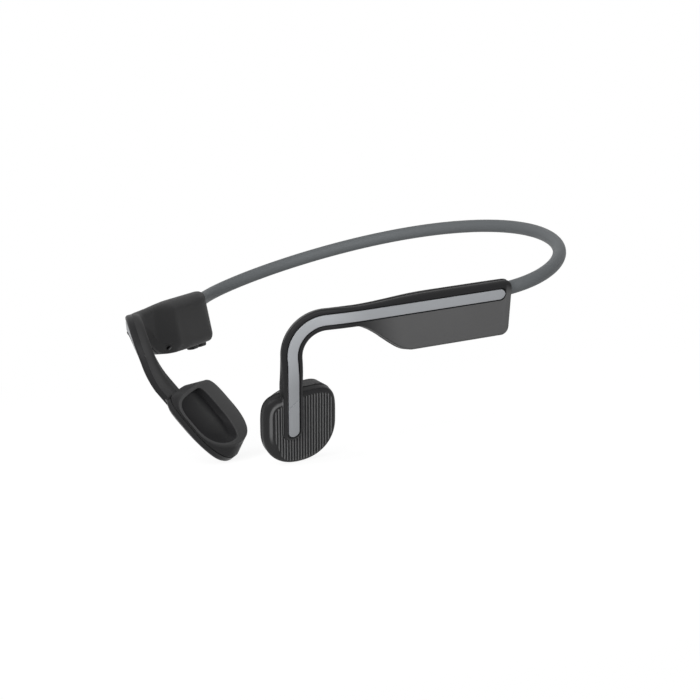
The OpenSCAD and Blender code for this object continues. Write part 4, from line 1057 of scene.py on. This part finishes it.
class HEADPHONES_OT_pod_covers(bpy.types.Operator):
    """Builds the ribbed pod covers with the ribs that carry the strips"""
    bl_idname = "headphones.pod_covers"
    bl_label = "Pod covers"

    def execute(self, context):
        z = sizes()
        cols, rows = cover_grid(z)
        x = np.repeat(cols[:, None], len(rows), 1)
        y = pod_reach(z, x, rows) * rows - z.pod_skew * x
        h = cover_height(z, x, y)
        n, m = x.shape
        index = np.arange(n * m).reshape(n, m)
        rim = np.concatenate([index[:-1, 0], index[-1, :-1], index[:0:-1, -1], index[0, :0:-1]])
        rx, ry, rh = x.ravel()[rim], y.ravel()[rim], h.ravel()[rim]
        lower = []
        for drop, top, depth in ((0.0, 0.5, None), (0.0, 1.0, None), (z.wall, 1.0, -z.cover_h),
                                 (z.wall, 1.0, z.plate_z)):
            level = mix(rh, -z.cover_h, top) if depth is None else np.full_like(rh, depth)
            px = rx * (1 - drop / z.pod_a)
            py = (ry + z.pod_skew * rx) * (1 - drop / z.pod_b) - z.pod_skew * px
            lower.append(in_pod(z, px, py, level))
        points = np.vstack([in_pod(z, x, y, h).reshape(-1, 3), *lower])
        rings = np.vstack([rim, n * m + np.arange(4 * len(rim)).reshape(4, -1)])
        a, b = rings[:-1], rings[1:]
        face = np.stack([index[:-1, :-1], index[1:, :-1], index[1:, 1:], index[:-1, 1:]], -1)
        wall = np.stack([np.roll(a, -1, 1), a, b, np.roll(b, -1, 1)], -1)
        faces = [face.reshape(-1, 4), wall.reshape(-1, 4), rings[-1:, ::-1]]
        # Share of the painted highlight: 1 on the fine ribs' crests, 0 in their valleys and on the strip's
        # higher rib
        crest_highlight = smooth(0.05, z.flute_h, h) * smooth(z.flute_h + 0.3, z.flute_h + 0.1, h)
        for side in SIDES:
            piece = make_piece(f"{side}_pod_cover_skin", points * (FLIP_X if side == "right" else 1), faces)
            store_share(piece, "painted_highlight_share", np.append(crest_highlight, np.zeros(4 * len(rim))))
            dress(piece, f"{side}_side", "housing_grey", finish_for("ribbed_cover"), f"{side}_pod_cover")
        return {"FINISHED"}


def pod_body_rings(z):
    """Pod body: a hollow tray, thin at the front and thick at the back. Its rim and its dish's floor both go
    down with the square of the distance from where they level out; the dish's wall is steep at the top and
    the back, and soft at the foot."""
    c, s = circle(160)
    body_z = -z.cover_h - POD_GASKET
    floor_z = z.dish_d + DISH_WALL - z.pod_t

    def outline(side, end):
        p = pod_power(z, s)
        return (z.pod_a - side) * bent(c, p), (z.pod_b - end) * bent(s, p)

    def rim(x):
        return (z.pod_t - z.pod_front) * np.clip(1 - (x + z.pod_a) / z.wedge_run, 0, None) ** 2 - z.pod_t

    def floor(x):
        rise = z.pod_t - z.dish_d - z.pod_front + z.dish_lip
        return z.dish_d - z.pod_t + rise * np.clip(1 - (x + z.pod_a) / z.dish_run, 0, None) ** 2

    def inside(x):
        return np.maximum(floor_z, floor(x) + DISH_WALL)

    # Inside, from the middle of the floor up to the joint
    x, y = outline(z.wall + z.taper_side, z.wall + z.taper_end)
    rings = [(k * x, k * y, inside(k * x)) for k in (0.36, 0.7, 1.0)]
    x, y = outline(z.wall + 0.7 * z.taper_side, z.wall + 0.7 * z.taper_end)
    rings.append((x, y, np.maximum(floor_z + 1, inside(x) + 0.1)))
    rings += [(*outline(i, i), np.full_like(c, body_z)) for i in (z.wall, JOINT_EDGE)]
    for k in np.radians([30, 60, 90]):
        i = JOINT_EDGE * (1 - np.sin(k))
        rings.append((*outline(i, i), np.full_like(c, body_z - JOINT_EDGE * (1 - np.cos(k)))))
    # Outside, from the joint down to the rim and over its rounded edge
    x, y = outline(z.taper_side, z.taper_end)
    edges = np.minimum(RIM_EDGE, body_z - JOINT_EDGE - 0.02 - rim(x))
    for k in np.linspace(0.25, 0.75, 3):
        px, py = outline(k * z.taper_side, k * z.taper_end)
        rings.append((px, py, mix(body_z - JOINT_EDGE, rim(x) + edges, k)))
    for k in np.radians(np.linspace(0, 90, 9)):
        i = edges * (1 - np.cos(k))
        x, y = outline(z.taper_side + i, z.taper_end + i)
        rings.append((x, y, rim(x) + edges * (1 - np.sin(k))))
    # Over the rim's face to the dish, down its wall and over its floor
    p = np.where(s > 0, z.dish_square, z.dish_round)
    dx = np.where(c > 0, z.dish_back, z.dish_front) * bent(c, p)
    dy = np.where(s > 0, z.dish_top, z.dish_foot) * bent(s, p)
    far = np.hypot(dx, dy)
    sides = len(rings) - 9
    for k in (0.35, 0.7):
        px, py = mix(x, dx - z.dish_ahead, k), mix(y, dy, k)
        rings.append((px, py, rim(px)))
    flat = len(rings)
    # Run of the dish's wall: short at the top, long at the foot
    run = 0.5 + 2.4 * smooth(0.1, -0.95, s)
    for k in np.linspace(0, 1, 10):
        share = 1 - run * k / far
        px, py = share * dx - z.dish_ahead, share * dy
        rings.append((px, py, mix(rim(px), floor(px), 1 - (1 - k) ** 1.7)))
    for k in (0.8, 0.6, 0.4, 0.2, 0.08):
        px, py = share * k * dx - z.dish_ahead, share * k * dy
        rings.append((px, py, floor(px)))
    # Share of the painted shade, in the deep black, for each ring: sides, rim's edge, rim's face, dish's wall
    # and floor; shade is painted on the sides and into the dish's wall and floor
    ring_painted_shade = np.concatenate([np.full(sides, 0.75), np.linspace(0.5, 0, 9), np.zeros(flat - sides - 9 + 1),
                             np.ones(9), np.linspace(0.9, 0.6, len(rings) - flat - 10)])
    return np.stack([in_pod(z, x, y - z.pod_skew * x, h) for x, y, h in rings]), ring_painted_shade


class HEADPHONES_OT_pod_bodies(bpy.types.Operator):
    """Builds the pods' bodies with the dished skin side"""
    bl_idname = "headphones.pod_bodies"
    bl_label = "Pod bodies"

    def execute(self, context):
        z = sizes()
        rings, ring_painted_shade = pod_body_rings(z)
        for side in SIDES:
            piece = loft(f"{side}_pod_body_skin", rings, side)
            store_share(piece, "painted_dish_shade", np.repeat(ring_painted_shade, rings.shape[1]))
            dress(piece, f"{side}_side", "housing_black", finish_for("pod_tray"), f"{side}_pod_body")
        return {"FINISHED"}


class HEADPHONES_OT_keys(bpy.types.Operator):
    """Builds the multifunction key, the volume keys and the charging flap"""
    bl_idname = "headphones.keys"
    bl_label = "Keys and flap"

    def execute(self, context):
        z = sizes()
        self.multifunction(z)
        tall = z.wall + z.snug + z.key_proud
        profile = [(FLANGE, -FLANGE_T), (FLANGE, 0.0), (0.0, 0.0)]
        profile += [(-i, tall - d) for i, d in rounding(KEY_EDGE)]
        for name, k in (("volume_up_key", 1), ("volume_down_key", -1)):
            rings = [under_housing(z, z.keys_mid + k * z.keys_pitch / 2, z.wall + z.snug,
                                   *pill(z.key_l, z.key_w, o), h) for o, h in profile]
            piece = loft(name + "_cap", np.stack(rings), "right")
            dress(piece, name, "housing_black", finish_for("housing_black"), name)
        rings = [under_housing(z, z.port_s, FLAP_T, *pill(z.cover_l, z.cover_w, o), h)
                 for o, h in [(0.0, 0.0)] + [(-i, FLAP_T - d) for i, d in rounding(FLAP_EDGE)]]
        dress(loft("charging_flap_cap", np.stack(rings), "right"), "usb_cover", "seal_rubber",
              finish_for("seal_rubber"), "usb_cover")
        return {"FINISHED"}

    def multifunction(self, z):
        """The cap fills the strip's groove below the seam: straight sides, a round foot and a slanted top."""
        half = z.strip_w / 2 - z.strip_gap
        foot_y = z.strip_w / 2 - z.rib_end
        top = z.pod_drop - z.seam_at - z.seam_gap
        a = np.linspace(np.pi, 2 * np.pi, 33)
        x = np.concatenate([half * np.cos(a), [half, -half]])
        rise = z.seam_slant * half
        y = np.concatenate([foot_y + half * np.sin(a), [top + rise, top - rise]])
        x = x - z.strip_ahead
        low, high = z.rib_h - z.groove_d, z.rib_h - 0.01
        rings = [in_pod(z, *inset(x, y, i), h)
                 for i, h in [(0.0, low)] + [(i, high - d) for i, d in rounding(z.strip_edge)]]
        cap = loft("multifunction_key_cap", np.stack(rings))
        c, s = circle(28)
        stem = [in_pod(z, STEM_R * c - z.strip_ahead, STEM_R * s + z.pod_b - STEM_DROP, h)
                for h in (z.plate_z - STEM_PAST, low + 0.1)]
        combine(cap, "UNION", loft("stem", np.stack(stem)))
        dress(cap, "multifunction_key", "strip_grey", finish_for("strip_grey"), "multifunction_key")


class HEADPHONES_OT_carried_solids(bpy.types.Operator):
    """Gives every solid that stays its finish from the record's slots"""
    bl_idname = "headphones.carried_solids"
    bl_label = "Inner parts"

    def execute(self, context):
        slots = {part["node"]: part["material_slot"] for part in frame["record"]["subparts"]}
        for name, solid in frame["nodes"].items():
            solid.data.materials.clear()
            solid.data.materials.append(finish_for("dark_mesh" if name.endswith("mesh") else slots[name]))
        return {"FINISHED"}


class HEADPHONES_OT_stage(bpy.types.Operator):
    """Makes the floor, the soft light and the camera of the photograph"""
    bl_idname = "headphones.stage"
    bl_label = "Stage"

    def execute(self, context):
        scene = context.scene
        scene.view_settings.view_transform = "Standard"
        self.floor()
        self.world(scene)
        for name, where, size, power in LAMPS:
            data = bpy.data.lights.new(name, "AREA")
            data.shape, data.size, data.energy = "DISK", size, power
            lamp = bpy.data.objects.new(name, data)
            scene.collection.objects.link(lamp)
            aim = unit(LAMP_AIM - np.array(where))
            across = unit(np.cross(aim, UP))
            lamp.matrix_world = axes_matrix(across, np.cross(across, aim), -aim, np.array(where))
        self.camera(scene)
        return {"FINISHED"}

    def floor(self):
        """A disc just under the pods whose shade fades to white before its rim."""
        c, s = circle(64)
        level = cad_box[0].z * 1000 - 0.3
        rings = np.stack([np.stack([r * c, 40 + r * s, np.full_like(c, level - drop)], -1)
                          for r, drop in ((20, 0), (400, 0), (900, 0), (900, 5))])
        floor = loft("studio_floor", rings)
        material, tree, shader = new_material("studio_floor")
        shader.inputs["Base Color"].default_value = (0.7, 0.7, 0.7, 1)
        shader.inputs["Roughness"].default_value = 0.9
        shader.inputs["Specular IOR Level"].default_value = 0.0
        lit = node(tree, "ShaderNodeBsdfDiffuse", {"Color": (0.3, 0.3, 0.3, 1)}).outputs[0]
        lift = node(tree, "ShaderNodeEmission", {"Color": WHITE, "Strength": 0.88}).outputs[0]
        shaded = node(tree, "ShaderNodeAddShader", {0: lit, 1: lift}).outputs[0]
        white = node(tree, "ShaderNodeEmission", {"Color": WHITE, "Strength": 1.0}).outputs[0]
        where = node(tree, "ShaderNodeTexCoord").outputs["Object"]
        far = node(tree, "ShaderNodeVectorMath", {0: where}, operation="LENGTH").outputs["Value"]
        fade = node(tree, "ShaderNodeMapRange", {"Value": far, "From Min": 0.12, "From Max": 0.3},
                    interpolation_type="SMOOTHSTEP").outputs["Result"]
        seen = node(tree, "ShaderNodeMixShader", {0: fade, 1: shaded, 2: white}).outputs[0]
        shown = node(tree, "ShaderNodeMixShader", {0: seen_rays(tree), 1: shader.outputs[0], 2: seen})
        tree.links.new(shown.outputs[0], tree.nodes["Material Output"].inputs["Surface"])
        floor.data.materials.append(material)

    def world(self, scene):
        """Soft light all round; the rays that show the background see white."""
        scene.world = bpy.data.worlds.new("studio")
        scene.world.use_nodes = True
        tree = scene.world.node_tree
        tree.nodes.clear()
        soft = node(tree, "ShaderNodeBackground", {"Color": WHITE, "Strength": 0.2}).outputs[0]
        white = node(tree, "ShaderNodeBackground", {"Color": WHITE, "Strength": 1.0}).outputs[0]
        shown = node(tree, "ShaderNodeMixShader", {0: seen_rays(tree), 1: soft, 2: white}).outputs[0]
        node(tree, "ShaderNodeOutputWorld", {"Surface": shown})

    def camera(self, scene):
        """The fitted camera, turned by yaw, pitch and roll."""
        yaw, pitch, roll = np.radians(CAMERA_TURN)
        aim = np.array([-np.sin(yaw) * np.cos(pitch), np.cos(yaw) * np.cos(pitch), np.sin(pitch)])
        across = unit(np.cross(aim, UP))
        down = np.cross(aim, across)
        right = np.cos(roll) * across + np.sin(roll) * down
        up = np.sin(roll) * across - np.cos(roll) * down
        data = bpy.data.cameras.new("camera")
        data.sensor_width, data.lens = CAMERA_SENSOR, CAMERA_LENS
        data.clip_start, data.clip_end = 0.05, 20.0
        camera = bpy.data.objects.new("camera", data)
        scene.collection.objects.link(camera)
        camera.matrix_world = axes_matrix(right, up, -aim, CAMERA_PLACE)
        scene.camera = camera


def seen_rays(tree):
    """1 for the rays that show the background: from the camera, in gloss and through glass."""
    rays = node(tree, "ShaderNodeLightPath").outputs
    shown = math_node(tree, "MAXIMUM", rays["Is Camera Ray"], rays["Is Glossy Ray"])
    return math_node(tree, "MAXIMUM", shown, rays["Is Transmission Ray"])


def axes_matrix(x, y, z, origin):
    """Matrix whose columns are the given axes and origin."""
    return Matrix(np.vstack([np.stack([x, y, z, origin], -1), [0, 0, 0, 1]]).tolist())


class HEADPHONES_PT_pieces(bpy.types.Panel):
    """Lists the pieces in the order in which they are built"""
    bl_label = "Headphones"
    bl_idname = "HEADPHONES_PT_pieces"
    bl_space_type = "VIEW_3D"
    bl_region_type = "UI"
    bl_category = "Headphones"

    def draw(self, context):
        for operator in OPERATORS:
            self.layout.operator(operator.bl_idname)
        for group in (context.scene.headphone_finishes, context.scene.headphone_sizes):
            box = self.layout.box()
            for key, prop in group.bl_rna.properties.items():
                if prop.type == "FLOAT":
                    box.prop(group, key)


OPERATORS = (HEADPHONES_OT_neckband, HEADPHONES_OT_shells, HEADPHONES_OT_strips, HEADPHONES_OT_pod_covers,
             HEADPHONES_OT_pod_bodies, HEADPHONES_OT_keys, HEADPHONES_OT_carried_solids, HEADPHONES_OT_stage)
CLASSES = (HeadphoneSizes, HeadphoneFinishes, *OPERATORS, HEADPHONES_PT_pieces)


def register():
    for cls in CLASSES:
        bpy.utils.register_class(cls)
    bpy.types.Scene.headphone_sizes = bpy.props.PointerProperty(type=HeadphoneSizes)
    bpy.types.Scene.headphone_finishes = bpy.props.PointerProperty(type=HeadphoneFinishes)


def unregister():
    del bpy.types.Scene.headphone_finishes
    del bpy.types.Scene.headphone_sizes
    for cls in reversed(CLASSES):
        bpy.utils.unregister_class(cls)


def main():
    register()
    bpy.ops.headphones.neckband()
    bpy.ops.headphones.shells()
    bpy.ops.headphones.strips()
    bpy.ops.headphones.pod_covers()
    bpy.ops.headphones.pod_bodies()
    bpy.ops.headphones.keys()
    bpy.ops.headphones.carried_solids()
    bpy.ops.headphones.stage()


if __name__ == "__main__":
    main()
